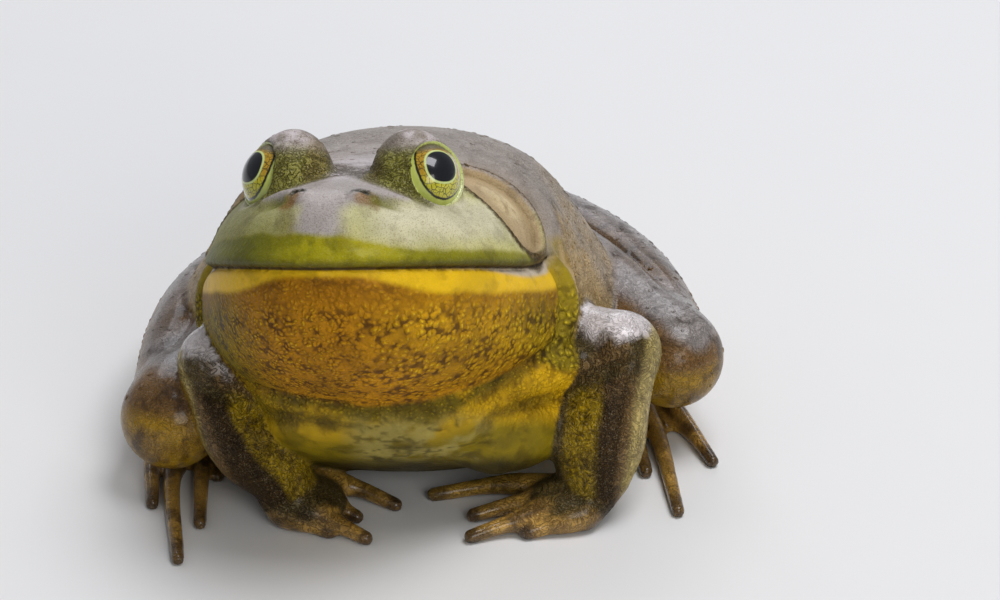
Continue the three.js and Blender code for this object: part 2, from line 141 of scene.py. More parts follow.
def blend_low(a: Array, b: Array, width: Amount) -> Array:
    """Returns: the distances of two joined shapes, with a fillet of that width."""
    part = np.maximum(width - np.abs(a - b), 0.0) / width
    return np.minimum(a, b) - part * part * width * 0.25


def blend_high(a: Array, b: Array, width: Amount) -> Array:
    """Returns: the distances of what two shapes share, with a rounded edge."""
    return -blend_low(-a, -b, width)


def apart(place: Point, x: Array, y: Array, z: Array) -> Array:
    """Returns: how far points are from one place."""
    return np.sqrt((x - place[0]) ** 2 + (y - place[1]) ** 2 + (z - place[2]) ** 2)


def unit(rows: Array) -> Array:
    """Returns: rows of directions, at unit length."""
    return rows / np.maximum(np.linalg.norm(rows, axis=1), 1e-6)[:, None]


def spine_points(points: Sequence[Point], count: int) -> Array:
    """Even points on a centripetal Catmull-Rom curve.

    Args:
        points: the curve's control points. count: how many points to give back.

    Returns:
        An array of count rows.
    """
    knots = np.array(points, float)
    knots = np.vstack([2 * knots[0] - knots[1], knots, 2 * knots[-1] - knots[-2]])
    fine = []
    for i in range(1, len(knots) - 2):
        p0, p1, p2, p3 = knots[i - 1:i + 3]
        d0, d1, d2 = (max(np.linalg.norm(b - a), 1e-6) ** 0.5
                      for a, b in ((p0, p1), (p1, p2), (p2, p3)))
        m1 = ((p1 - p0) / d0 - (p2 - p0) / (d0 + d1) + (p2 - p1) / d1) * d1
        m2 = ((p2 - p1) / d1 - (p3 - p1) / (d1 + d2) + (p3 - p2) / d2) * d1
        t = np.linspace(0, 1, 60)[:, None]
        fine.append(p1 + m1 * t + (-3 * p1 + 3 * p2 - 2 * m1 - m2) * t ** 2
                    + (2 * p1 - 2 * p2 + m1 + m2) * t ** 3)
    line = np.vstack(fine)
    run = np.concatenate([[0], np.cumsum(np.linalg.norm(np.diff(line, axis=0), axis=1))])
    even = np.linspace(0, run[-1], count)
    return np.stack([np.interp(even, run, line[:, k]) for k in range(3)], 1)


NOISE_TURN = np.array(Euler((0.7, 0.5, 0.9)).to_matrix())


def value_noise(points: Array, size: float, seed: int) -> Array:
    """Smooth noise in space.

    Args:
        points: rows of millimetres. size: width of one lump. seed: fixed choice.

    Returns:
        Values from -1 to 1.
    """
    place = points / size + seed * 17.31
    base = np.floor(place).astype(np.int64)
    part = place - base
    part = part * part * (3 - 2 * part)
    total = np.zeros(len(points))
    for corner in CORNERS:
        at = base + np.array(corner)
        mixed = (at[:, 0] * 73856093) ^ (at[:, 1] * 19349663) ^ (at[:, 2] * 83492791)
        mixed = (mixed ^ (seed * 2654435761)) & 0xFFFFFFFF
        mixed = ((mixed ^ (mixed >> 15)) * 2246822519) & 0xFFFFFFFF
        mixed = ((mixed ^ (mixed >> 13)) * 3266489917) & 0xFFFFFFFF
        value = ((mixed ^ (mixed >> 16)) & 0xFFFF) / 32767.5 - 1
        weight = np.prod([part[:, k] if corner[k] else 1 - part[:, k] for k in range(3)], 0)
        total += value * weight
    return total


def rough_noise(points: Array, size: float, seed: int, octaves: int = 3) -> Array:
    """Noise with finer lumps on it. Returns: values from about -1 to 1."""
    total, place = np.zeros(len(points)), points
    for octave in range(octaves):
        place = place @ NOISE_TURN
        total += value_noise(place, size / 2 ** octave, seed + octave) / 2 ** octave
    return total / 1.6


# ---- shapes in space


@dataclass(frozen=True)
class Tube:
    """Round flesh along a bent line, with its radii spread evenly over it."""

    points: Line
    radii: Radii
    count: int = 18

    def line(self) -> Pair:
        """Returns: the centres along the line, and the radius at each."""
        share = np.linspace(0, 1, self.count)
        stations = zip(np.linspace(0, 1, len(self.radii)), self.radii)
        return spine_points(self.points, self.count), Profile(*stations)(share)

    def bounds(self) -> Pair:
        """Returns: the lowest and highest corner."""
        centres, radii = self.line()
        return (centres - radii[:, None]).min(0), (centres + radii[:, None]).max(0)

    def place(self, x: Array, y: Array, z: Array) -> Pair:
        """Where points lie on the tube.

        Args:
            x, y, z: the points, as arrays that fit together.

        Returns:
            The distance to the surface, and the share of the way along.
        """
        centres, radii = self.line()
        best = np.float32(FAR)
        along = np.float32(0)
        for i in range(self.count - 1):
            a, step = centres[i], centres[i + 1] - centres[i]
            length = float(step @ step)
            dx, dy, dz = x - a[0], y - a[1], z - a[2]
            t = np.clip((dx * step[0] + dy * step[1] + dz * step[2]) / length, 0, 1)
            t = t.astype(np.float32)
            off = np.sqrt((dx - t * step[0]) ** 2 + (dy - t * step[1]) ** 2
                          + (dz - t * step[2]) ** 2)
            gap = off - (radii[i] + t * (radii[i + 1] - radii[i]))
            closer = gap < best
            along = np.where(closer, (i + t) / (self.count - 1), along)
            best = np.where(closer, gap, best)
        return best, along

    def distance(self, x: Array, y: Array, z: Array) -> Array:
        """Returns: distances of points to the surface, below 0 inside."""
        return self.place(x, y, z)[0]


@dataclass(frozen=True)
class Ball:
    """An ellipsoid whose axes are the rows of a turn."""

    centre: Point
    radii: Point
    turn: tuple[Point, Point, Point] = ((1, 0, 0), (0, 1, 0), (0, 0, 1))

    def bounds(self) -> Pair:
        """Returns: the lowest and highest corner."""
        reach = max(self.radii)
        return np.array(self.centre) - reach, np.array(self.centre) + reach

    def distance(self, x: Array, y: Array, z: Array) -> Array:
        """Returns: nearly the distances of points to the surface."""
        near = steep = 0.0
        for axis, radius in zip(self.turn, self.radii):
            part = height_over(self.centre, axis, x, y, z) / radius
            near = near + part * part
            steep = steep + (part / radius) ** 2
        near = np.sqrt(near)
        return (near * (near - 1) / np.maximum(np.sqrt(steep), 1e-4)).astype(np.float32)


@dataclass(frozen=True)
class Ring:
    """A round ring of even thickness."""

    centre: Point
    axis: Point
    radius: float
    thickness: float

    def bounds(self) -> Pair:
        """Returns: the lowest and highest corner."""
        reach = self.radius + self.thickness
        return np.array(self.centre) - reach, np.array(self.centre) + reach

    def distance(self, x: Array, y: Array, z: Array) -> Array:
        """Returns: distances of points to the surface."""
        off = height_over(self.centre, self.axis, x, y, z)
        out = np.sqrt(np.maximum(apart(self.centre, x, y, z) ** 2 - off * off, 0))
        return np.sqrt((out - self.radius) ** 2 + off * off) - self.thickness


def height_over(middle: Point, facing: Point, x: Array, y: Array, z: Array) -> Array:
    """Returns: how far points lie over a plane through a middle."""
    return sum((p - m) * f for p, m, f in zip((x, y, z), middle, facing))


class Block:
    """Distances at the points of an uneven box grid, or of a window of it."""

    def __init__(self, axes: Sequence[Array]) -> None:
        """Starts with nothing inside, at the places along x, y and z."""
        self.axes = [np.asarray(a, np.float32) for a in axes]
        self.values = np.full([len(a) for a in self.axes], FAR, np.float32)

    def span(self, low: Array, high: Array, margin: float = REACH) -> Window:
        """Returns: the slices of the grid that a box and a margin round it cover."""
        spans = []
        for axis, lowest, highest in zip(self.axes, low, high):
            start = max(int(np.searchsorted(axis, lowest - margin)) - 1, 0)
            stop = min(int(np.searchsorted(axis, highest + margin)) + 1, len(axis))
            spans.append(slice(start, max(stop, start + 1)))
        return tuple(spans)

    def points(self, spans: Window) -> Places:
        """Returns: x, y and z of a window, as arrays that broadcast together."""
        x, y, z = (axis[s] for axis, s in zip(self.axes, spans))
        return x[:, None, None], y[None, :, None], z[None, None, :]

    def part(self, spans: Window) -> "Block":
        """Returns: an empty block over a window."""
        return Block([axis[s] for axis, s in zip(self.axes, spans)])

    def join(self, shape: Tube | Ball | Ring, width: float) -> None:
        """Adds a shape, with a fillet of that width."""
        spans = self.span(*shape.bounds())
        found = shape.distance(*self.points(spans))
        self.values[spans] = blend_low(self.values[spans], found, width)

    def cut(self, shape: Tube | Ball | Ring, width: float) -> None:
        """Carves a shape out, with a rounded edge of that width."""
        spans = self.span(*shape.bounds(), margin=2.5)
        found = shape.distance(*self.points(spans))
        self.values[spans] = blend_high(self.values[spans], -found, width)

    def line_on(self, points: Sequence[Point], sink: float = 0.0) -> Line:
        """Moves a line's points onto the surface.

        Args:
            points: the points, near the surface. sink: how far under it they end.

        Returns:
            The moved points.
        """
        found = np.array(points, float)
        for _ in range(12):
            value, slope = self.sample(found)
            steep = np.maximum((slope * slope).sum(1), 0.2)
            found = found - (value / steep * 0.8)[:, None] * slope
        found = found - sink * unit(self.sample(found)[1])
        return tuple(map(tuple, found.tolist()))

    def level(self, spans: Window, wall: Array) -> Array:
        """Returns: the distances from where a level is 1, over a window."""
        steps = np.gradient(wall, *(axis[s] for axis, s in zip(self.axes, spans)))
        steep = np.sqrt(sum(s * s for s in steps))
        return ((wall - 1) / np.maximum(steep, 0.012)).astype(np.float32)

    def sample(self, at: Array) -> Pair:
        """Values and slopes between the grid's points.

        Args:
            at: rows of points.

        Returns:
            The value at each point, and the slope there as rows.
        """
        index, part, step = [], [], []
        for k, axis in enumerate(self.axes):
            i = np.clip(np.searchsorted(axis, at[:, k], side="right") - 1, 0, len(axis) - 2)
            width = axis[i + 1] - axis[i]
            index.append(i)
            step.append(width)
            part.append(np.clip((at[:, k] - axis[i]) / width, 0, 1))
        value = np.zeros(len(at))
        slope = np.zeros((len(at), 3))
        for corner in CORNERS:
            known = self.values[tuple(index[k] + corner[k] for k in range(3))]
            weights = [part[k] if corner[k] else 1 - part[k] for k in range(3)]
            value += known * weights[0] * weights[1] * weights[2]
            for k in range(3):
                others = [weights[m] for m in range(3) if m != k]
                sign = 1 if corner[k] else -1
                slope[:, k] += sign * known * others[0] * others[1] / step[k]
        return value, slope


def surface_of(block: Block) -> Pair:
    """The closed surface where a field is nought, as even four-sided faces.

    Args:
        block: the field.

    Returns:
        Rows of points, and rows of four corner numbers that face outwards.
    """
    values, axes = block.values, block.axes
    inside = values < 0
    size = [n - 1 for n in values.shape]
    count = np.zeros(size, np.uint8)
    for c in CORNERS:
        count += inside[c[0]:size[0] + c[0], c[1]:size[1] + c[1], c[2]:size[2] + c[2]]
    cells = np.argwhere((count > 0) & (count < 8))
    number = np.full(size, -1, np.int32)
    number[tuple(cells.T)] = np.arange(len(cells))
    known = {c: values[tuple((cells + c).T)] for c in CORNERS}
    total = np.zeros((len(cells), 3))
    hits = np.zeros(len(cells))
    for start in CORNERS:
        for k in range(3):
            if start[k]:
                continue
            end = tuple(1 if m == k else start[m] for m in range(3))
            a, b = known[start], known[end]
            crossed = (a < 0) != (b < 0)
            t = np.where(crossed, a / np.where(crossed, a - b, 1), 0)
            for m, axis in enumerate(axes):
                low, high = axis[cells[:, m] + start[m]], axis[cells[:, m] + end[m]]
                total[:, m] += np.where(crossed, low + t * (high - low), 0)
            hits += crossed
    faces = []
    for k in range(3):
        m, n = (k + 1) % 3, (k + 2) % 3
        low, high = [slice(None)] * 3, [slice(None)] * 3
        low[k], high[k] = slice(None, -1), slice(1, None)
        starts, ends = inside[tuple(low)], inside[tuple(high)]
        edges = np.argwhere(starts != ends)
        keep = (edges[:, m] > 0) & (edges[:, n] > 0)
        keep &= (edges[:, m] < size[m]) & (edges[:, n] < size[n])
        edges = edges[keep]
        rising = starts[tuple(edges.T)]
        around = []
        for back_m, back_n in ((1, 1), (0, 1), (0, 0), (1, 0)):
            cell = edges.copy()
            cell[:, m] -= back_m
            cell[:, n] -= back_n
            around.append(number[tuple(cell.T)])
        quad = np.stack(around, 1)
        quad[~rising] = quad[~rising][:, ::-1]
        faces.append(quad)
    return total / hits[:, None], np.vstack(faces)


def largest_part(points: Array, faces: Array) -> Pair:
    """Keeps the piece of a mesh with the most points.

    Args:
        points, faces: the mesh, as surface_of gives it.

    Returns:
        The points and faces that are kept.
    """
    edges = np.vstack([faces[:, [0, 1]], faces[:, [1, 2]], faces[:, [2, 3]]])
    label = np.arange(len(points))
    while True:
        least = np.minimum(label[edges[:, 0]], label[edges[:, 1]])
        new = label.copy()
        np.minimum.at(new, edges[:, 0], least)
        np.minimum.at(new, edges[:, 1], least)
        new = new[new]
        if (new == label).all():
            break
        label = new
    main = np.bincount(label).argmax()
    kept = label == main
    number = np.cumsum(kept) - 1
    return points[kept], number[faces[kept[faces[:, 0]]]]


def settle(block: Block, points: Array, faces: Array, rounds: int) -> Array:
    """Evens out a mesh's points and lays them back on the surface.

    Args:
        block: the field. points, faces: its mesh. rounds: how many times.

    Returns:
        The new points.
    """
    edges = np.vstack([faces[:, [i, (i + 1) % 4]] for i in range(4)])
    degree = np.bincount(edges.ravel(), minlength=len(points))[:, None]
    for _ in range(rounds):
        total = np.zeros_like(points)
        for k in range(3):
            total[:, k] = (np.bincount(edges[:, 0], points[edges[:, 1], k], len(points))
                           + np.bincount(edges[:, 1], points[edges[:, 0], k], len(points)))
        points = points + 0.6 * (total / degree - points)
        for _ in range(2):
            value, slope = block.sample(points)
            steep = np.maximum((slope * slope).sum(1), 0.25)
            shift = np.clip(value / steep, -0.6, 0.6)
            points = points - shift[:, None] * slope
    return points


# ---- the frog's sizes


@dataclass(frozen=True)
class HeadFrame:
    """The head's own frame: a to the frog's left, b back from the snout, c up."""

    snout_height: float = 62.0
    nose_up: float = math.radians(30)
    turn: float = math.radians(-12)

    def axes(self) -> Array:
        """Returns: the directions of a, b and c, as rows."""
        tilt = Matrix.Rotation(-self.nose_up, 3, "X") @ Matrix.Rotation(self.turn, 3, "Z")
        return np.array(tilt.transposed())

    def out(self, place: Point) -> Point:
        """Returns: a place in the head, in the laying-out frame."""
        found = np.array(place) @ self.axes() + (0, 0, self.snout_height)
        return tuple(found.tolist())

    def turned(self, direction: Point) -> Point:
        """Returns: a direction in the head, at unit length in the laying-out frame."""
        found = np.array(direction) @ self.axes()
        return tuple((found / np.linalg.norm(found)).tolist())

    def inward(self, x: Array, y: Array, z: Array) -> Places:
        """Returns: places of the laying-out frame as a, b and c."""
        up = z - self.snout_height
        return tuple(x * row[0] + y * row[1] + up * row[2] for row in self.axes())


@dataclass(frozen=True)
class EyeShape:
    """One eyeball, where it looks, and the opening of its lids."""

    centre: Point = (12.3, 22.9, 14.7)
    radius: float = 6.4
    outward: float = math.radians(46)
    upward: float = math.radians(21.5)
    lid_outward: float = math.radians(51)
    lid_upward: float = math.radians(14)
    lid_plane: float = 3.1
    lid_radius: float = 5.75
    lid_reach: float = 6.95
    lid_rim: float = 0.55
    dome: Point = (10.2, 24.0, 14.2)
    dome_radii: Point = (7.0, 9.0, 9.2)

    def direction(self, side: Side, outward: float, upward: float) -> Point:
        """Returns: a direction from its two angles, in the head's frame."""
        flat = math.cos(upward)
        return side.of((math.sin(outward) * flat, -math.cos(outward) * flat, math.sin(upward)))

    def gaze(self, side: Side) -> Point:
        """Returns: where the eye looks, in the head's frame."""
        return self.direction(side, self.outward, self.upward)

    def opening(self, side: Side) -> Point:
        """Returns: where the gap between the lids faces, in the head's frame."""
        return self.direction(side, self.lid_outward, self.lid_upward)


@dataclass(frozen=True)
class EarShape:
    """One eardrum, which lies flush in a ring behind the eye."""

    centre: Point = (22.8, 38.3, 11.1)
    facing: Point = (0.69, -0.13, 0.71)
    along: Point = (0.72, 0.15, -0.67)
    length: float = 10.3
    height: float = 7.5

    def frame(self, side: Side, place: HeadFrame) -> Places:
        """Returns: where the eardrum faces, its long way and its short way."""
        facing, along = (np.array(place.turned(side.of(v))) for v in (self.facing, self.along))
        along = along - facing * (along @ facing)
        along /= np.linalg.norm(along)
        return facing, along, np.cross(facing, along)


class Fold(NamedTuple):
    """A raised or sunk line of skin, as on the head's left half."""

    points: Line
    radii: Radii
    sink: float
    width: float
    sunk: bool = False
    count: int = 18


@dataclass
class HeadShape:
    """Skull, jaw, mouth, lids, nostrils, eardrums and the folds between them."""

    place: HeadFrame = field(default_factory=HeadFrame)
    eye: EyeShape = field(default_factory=EyeShape)
    ear: EarShape = field(default_factory=EarShape)
    mouth_half_width: float = 29.0
    mouth_length: float = 48.0
    length: float = 55.0
    blunt_tip: float = 1.2
    throat_power: float = 2.9
    jaw_lean: float = 0.06
    lip_gap: float = 0.8
    lip_depth: float = 1.0
    lip_roll: float = 0.4
    mouth_line: Profile = profile(
        (0, -0.35), (6, -0.1), (20, 0.1), (34, 0.1), (42, 0.6), (46, 1.8), (50, 2.3))
    crown: Profile = profile(
        (0, 3), (0.8, 6), (3, 9.8), (7, 12.6), (14, 14.6), (24, 16.2), (36, 18.4), (48, 20),
        (55, 20))
    skull_power: Profile = profile((12, 2.25), (34, 3.2))
    skull_lean: Profile = profile((12, 0.08), (34, 0.18))
    cheek_swell: Profile = profile((0, 0), (40, 0.2), (55, 1.4))
    jaw_swell: Profile = profile((0, 0), (28, 0.4), (40, 1.8), (50, 3.8), (55, 4))
    jaw_widest: Profile = profile((0, 0.2), (20, 1), (44, 5), (55, 6))
    throat: Profile = profile(
        (0.6, 2.5), (2, 7.5), (5, 13), (10, 17.8), (18, 21.2), (30, 23.6), (44, 24), (55, 22))

    folds: tuple[Fold, ...] = (
        Fold(((29.4, 47.6, 3.2), (31.6, 48.6, -2.6), (33.0, 48.8, -8), (31.4, 46, -15)),
             (0.7, 1.5, 1.6, 0.8), 0.3, 1.6),
        Fold(((28.8, 45.6, -1), (30.6, 46, -5.5), (30.8, 45.4, -12)), (0.4, 0.9, 0.4), -0.2, 1.2,
             sunk=True),
        Fold(((4.8, 7.4, 12.8), (8.0, 9.6, 12.0), (12.0, 12.0, 10.4)), (0.8, 1.1, 0.8), 0.1, 1.4),
        Fold(((6.6, 6.6, 11.2), (9.2, 8.8, 10.4), (12.6, 11.0, 8.9)), (0.3, 0.8, 0.4), -0.1, 1.4,
             sunk=True))
    nostril: tuple[Fold, ...] = (
        Fold(((5.0, 6.4, 11.6), (6.8, 7.6, 11.2)), (1.4, 1.4), 0.5, 1.6, count=6),
        Fold(((4.5, 6.6, 12.7), (5.6, 7.0, 12.3), (6.6, 7.4, 11.7)), (0.3, 0.62, 0.3), 0.1, 0.3,
             sunk=True, count=6))

    def mouth_width(self, b: Array) -> Array:
        """Returns: half the width of the mouth's outline, half an ellipse in plan."""
        ahead = np.clip(1 - b / self.mouth_length, 0, 1)
        return np.maximum(self.blunt_tip, self.mouth_half_width * np.sqrt(1 - ahead * ahead))

    def wall(self, a: Array, b: Array, c: Array) -> Array:
        """A level that is 1 on the plain outline of skull and jaw.

        Args:
            a, b, c: places in the head's frame.

        Returns:
            The level, lower inside.
        """
        back = np.clip(b, 0, self.length)
        half = self.mouth_width(back)
        upper_half = half + self.cheek_swell(back)
        rise = np.maximum(c, 0) / self.crown(back)
        lean = 1 - self.skull_lean(back) * np.minimum(rise, 1.2)
        above = np.sqrt((a / (upper_half * lean)) ** 2 + rise ** self.skull_power(back))
        behind = np.clip(b - 0.6, 0, self.length)
        jaw_half = self.mouth_width(behind) - 0.2 + self.jaw_swell(behind)
        widest = self.jaw_widest(behind)
        low = np.maximum(-c, 0)
        drop = np.maximum(low - widest, 0) / (self.throat(behind) - widest)
        up = np.clip(1 - low / widest, 0, 1)
        below = np.sqrt((a / (jaw_half * (1 - self.jaw_lean * up * up))) ** 2
                        + drop ** self.throat_power)
        return np.where(c > 0, above, below)

    def build(self, grid: Block) -> tuple[Block, Window]:
        """Works out the head by itself, before it meets the trunk.

        Args:
            grid: the whole frog's grid.

        Returns:
            The head's own block, and the window of the grid that it covers.
        """
        corners = [self.place.out((a, b, c)) for a in (-33, 33) for b in (0, 60)
                   for c in (-25, 24)]
        spans = grid.span(np.min(corners, 0), np.max(corners, 0), margin=3)
        block = grid.part(spans)
        a, b, c = self.place.inward(*block.points(ALL))
        wall = block.level(ALL, self.wall(a, b, c))
        wall = np.maximum(wall, np.maximum(-b, b - self.length))
        block.values = np.clip(wall, -FAR, FAR).astype(np.float32)
        self.close_mouth(block, a, b, c)
        for side in Side:
            brow = Tube(block.line_on(self.brow(side), 0.1), (0.7, 1.0, 1.1, 1.1, 0.8))
            block.join(brow, 0.9)
            self.press(block, side, self.folds)
            self.raise_lids(block, side)
            self.set_ear(block, side)
            self.press(block, side, self.nostril)
        return block, spans

    def close_mouth(self, block: Block, a: Array, b: Array, c: Array) -> None:
        """Presses the line between the lips in, and rolls the lips' edges."""
        off = c - self.mouth_line(b)
        ends = ease(self.mouth_length + 0.5, self.mouth_length - 3, b)
        ends = ends * ease(4, 2, np.abs(a) - self.mouth_width(b))
        upper = ease(2.4, 0, np.abs(off - 1.5)) * self.lip_roll
        groove = ease(self.lip_gap, 0, np.abs(off)) ** 1.5 * self.lip_depth
        under = ease(2.2, 0, np.abs(off + 1.0)) * 0.5 * self.lip_roll
        block.values += ((groove + under - upper) * ends).astype(np.float32)

    def raise_lids(self, block: Block, side: Side) -> None:
        """Raises the dome over an eye, its lids and their rim, and opens the socket."""
        out, eye = self.place.out, self.eye
        axes = tuple(tuple(row) for row in self.place.axes())
        block.join(Ball(out(side.of(eye.dome)), eye.dome_radii, axes), 1.5)
        centre = out(side.of(eye.centre))
        facing = self.place.turned(eye.opening(side))
        spans = block.span(np.array(centre) - 9, np.array(centre) + 9, margin=2)
        x, y, z = block.points(spans)
        off = height_over(centre, facing, x, y, z)
        sleeve = Ball(centre, (eye.lid_reach,) * 3).distance(x, y, z)
        sleeve = blend_high(sleeve, off - eye.lid_plane, 0.6)
        block.values[spans] = blend_low(block.values[spans], sleeve, 1.2)
        rim = tuple(centre[k] + eye.lid_plane * facing[k] for k in range(3))
        ring = Ring(rim, facing, eye.lid_radius, eye.lid_rim)
        opened = Ring(rim, facing, 0.0, eye.lid_radius + 0.1).distance(x, y, z)
        ahead = np.maximum(-(off - eye.lid_plane + 0.1), opened)
        block.values[spans] = blend_high(block.values[spans], -ahead, 0.5)
        block.join(ring, 0.7)
        socket = Ball(centre, (eye.radius - 0.12,) * 3)
        block.cut(socket, 0.05)

    def ear_places(self, side: Side, x: Array, y: Array, z: Array) -> Places:
        """How points lie to an eardrum.

        Args:
            side: whose eardrum. x, y, z: the points.

        Returns:
            The share of the way out to its edge, the height over it, and its upper half.
        """
        centre = self.place.out(side.of(self.ear.centre))
        off, far, wide = (height_over(centre, row, x, y, z)
                          for row in self.ear.frame(side, self.place))
        upper = wide * side.value
        return np.hypot(far / self.ear.length, wide / self.ear.height), off, upper

    def set_ear(self, block: Block, side: Side) -> None:
        """Lays the eardrum flush in its ring, grooved inside it, with a raised middle."""
        centre = np.array(self.place.out(side.of(self.ear.centre)))
        reach = self.ear.length
        spans = block.span(centre - reach, centre + reach, margin=3)
        out, off, _ = self.ear_places(side, *block.points(spans))
        relief = 0.45 * ease(0.1, 0, np.abs(out - 1.03)) - 0.45 * ease(0.2, 0, np.abs(out - 0.88))
        relief = relief + 0.35 * ease(0.5, 0.1, out) - 0.3 * ease(0.95, 0.7, out)
        block.values[spans] -= relief * ease(8, 6, np.abs(off))

    def line(self, side: Side, *points: Point) -> Line:
        """Returns: points of the left half of the head, for one side of it."""
        return tuple(self.place.out(side.of(point)) for point in points)

    def brow(self, side: Side) -> Line:
        """Returns: the fold's line from the eye, round over the eardrum, to the jaw."""
        centre = np.array(self.place.out(side.of(self.ear.centre)))
        _, far, wide = self.ear.frame(side, self.place)
        points = []
        for turn in np.linspace(math.pi, -0.15, 9):
            step = self.ear.length * math.cos(turn) * np.array(far)
            step = step + self.ear.height * math.sin(turn) * side.value * np.array(wide)
            points.append(tuple(centre + 1.1 * step))
        return tuple(points)

    def press(self, block: Block, side: Side, folds: Sequence[Fold]) -> None:
        """Raises or sinks folds on one side of the head."""
        for fold in folds:
            line = block.line_on(self.line(side, *fold.points), fold.sink)
            shape = Tube(line, fold.radii, fold.count)
            (block.cut if fold.sunk else block.join)(shape, fold.width)


@dataclass
class TrunkShape:
    """Back, flanks, chest and belly, in upright sections along the frog."""

    start: float = 10.0
    end: float = 124.0
    belly_power: float = 4.2
    middle_x: Profile = profile((10, 10), (30, 13.4), (60, 13.6), (124, 14.2))
    half: Profile = profile(
        (10, 6), (13, 15.5), (20, 22), (30, 27), (38, 30.5), (46, 34), (56, 37.8), (64, 38.4),
        (75, 35), (86, 28.5), (98, 21.5), (110, 15.5), (119, 9.5), (124, 3))
    top: Profile = profile(
        (10, 31), (20, 40), (30, 45.5), (40, 50.6), (52, 54.6), (60, 53.6), (72, 49), (85, 41),
        (100, 30.5), (112, 21), (120, 13.5), (124, 9))
    bottom: Profile = profile(
        (10, 26), (13, 19.5), (18, 13.5), (25, 7.6), (32, 3.6), (46, 1.6), (64, -0.25),
        (108, -0.25), (117, 2), (124, 6))
    middle: Profile = profile((10, 28), (20, 25), (35, 24), (60, 23), (76, 18), (90, 14), (124, 8))
    back_power: Profile = profile((38, 2.4), (58, 9), (85, 7), (110, 2.4))
    lean: Profile = profile((38, 0.05), (58, 0.48), (85, 0.42), (110, 0.1))

    def build(self, grid: Block) -> None:
        """Joins the trunk to an empty grid."""
        low = np.array((self.middle_x(60) - 40, self.start, -1.0))
        high = np.array((self.middle_x(60) + 40, self.end, 56.0))
        spans = grid.span(low, high, margin=4)
        x, y, z = grid.points(spans)
        back = np.clip(y, self.start, self.end)
        half, top, bottom = self.half(back), self.top(back), self.bottom(back)
        middle, power = self.middle(back), self.back_power(back)
        rise = np.maximum(z - middle, 0) / (top - middle)
        drop = np.maximum(middle - z, 0) / (middle - bottom)
        across = (x - self.middle_x(back)) / (half * (1 - self.lean(back) * np.minimum(rise, 1.3)))
        wall = np.sqrt(across ** 2 + rise ** power + drop ** self.belly_power)
        found = grid.level(spans, wall)
        found = np.maximum(found, np.maximum(self.start - y, y - self.end))
        grid.values[spans] = np.clip(found, -FAR, FAR)


class Root(NamedTuple):
    """Where a limb leaves the trunk, and the fillet's reach and widths there."""

    place: Point
    reach: float
    wide: float
    narrow: float


@dataclass(frozen=True)
class Limb:
    """What a fore limb and a hind limb share."""

    side: Side

    def name(self) -> str:
        """Returns: the limb's name among the skin's parts."""
        return f"{type(self).__name__}_{self.side.word}"

    def digits(self) -> list[Tube]:
        """Returns: the fingers or toes, from the inner one out."""
        return []

    def window(self, grid: Block, *flesh: Tube) -> tuple[Block, Window]:
        """Returns: an empty block round flesh and digits, and its window of the grid."""
        corners = [part.bounds() for part in (*flesh, *self.digits())]
        spans = grid.span(np.min(corners, (0, 1)), np.max(corners, (0, 1)))
        return grid.part(spans), spans

    @staticmethod
    def bent(start: Point, end: Point, bow: Point, radii: Radii) -> Tube:
        """Returns: flesh between two points, its middle pushed aside by the bow."""
        middle = tuple((a + b) / 2 + c for a, b, c in zip(start, end, bow))
        return Tube((start, middle, end), radii)


@dataclass(frozen=True)
class ArmShape(Limb):
    """One fore limb from shoulder to finger tips."""

    shoulder: Point
    elbow: Point
    wrist: Point
    palm: Point
    upper_bow: Point
    lower_bow: Point
    fingers: tuple[Line, ...]
    upper_radii: Radii = (6.6, 7.2, 7.3, 6.8)
    lower_radii: Radii = (6.6, 7.0, 7.4, 5.4)
    palm_radii: Point = (7.2, 6.2, 3.8)
    finger_radii: Radii = (2.7, 2.1, 1.4, 1.25)

    def root(self) -> Root:
        """Returns: how the arm leaves the trunk."""
        return Root(self.shoulder, reach=26.0, wide=5.0, narrow=0.8)

    def upper(self) -> Tube:
        """Returns: the upper arm."""
        return self.bent(self.shoulder, self.elbow, self.upper_bow, self.upper_radii)

    def lower(self) -> Tube:
        """Returns: the forearm."""
        return self.bent(self.elbow, self.wrist, self.lower_bow, self.lower_radii)

    def digits(self) -> list[Tube]:
        """Returns: the fingers, from the inner one out."""
        return [Tube(path, self.finger_radii, 12) for path in self.fingers]

    def build(self, grid: Block) -> tuple[Block, Window]:
        """Works out the arm by itself. Returns: its block and its window."""
        block, spans = self.window(grid, self.upper(), self.lower())
        block.join(self.upper(), 1.0)
        block.join(self.lower(), 1.4)
        block.join(Ball(self.palm, self.palm_radii), 3.0)
        for finger in self.digits():
            block.join(finger, 1.6)
        return block, spans


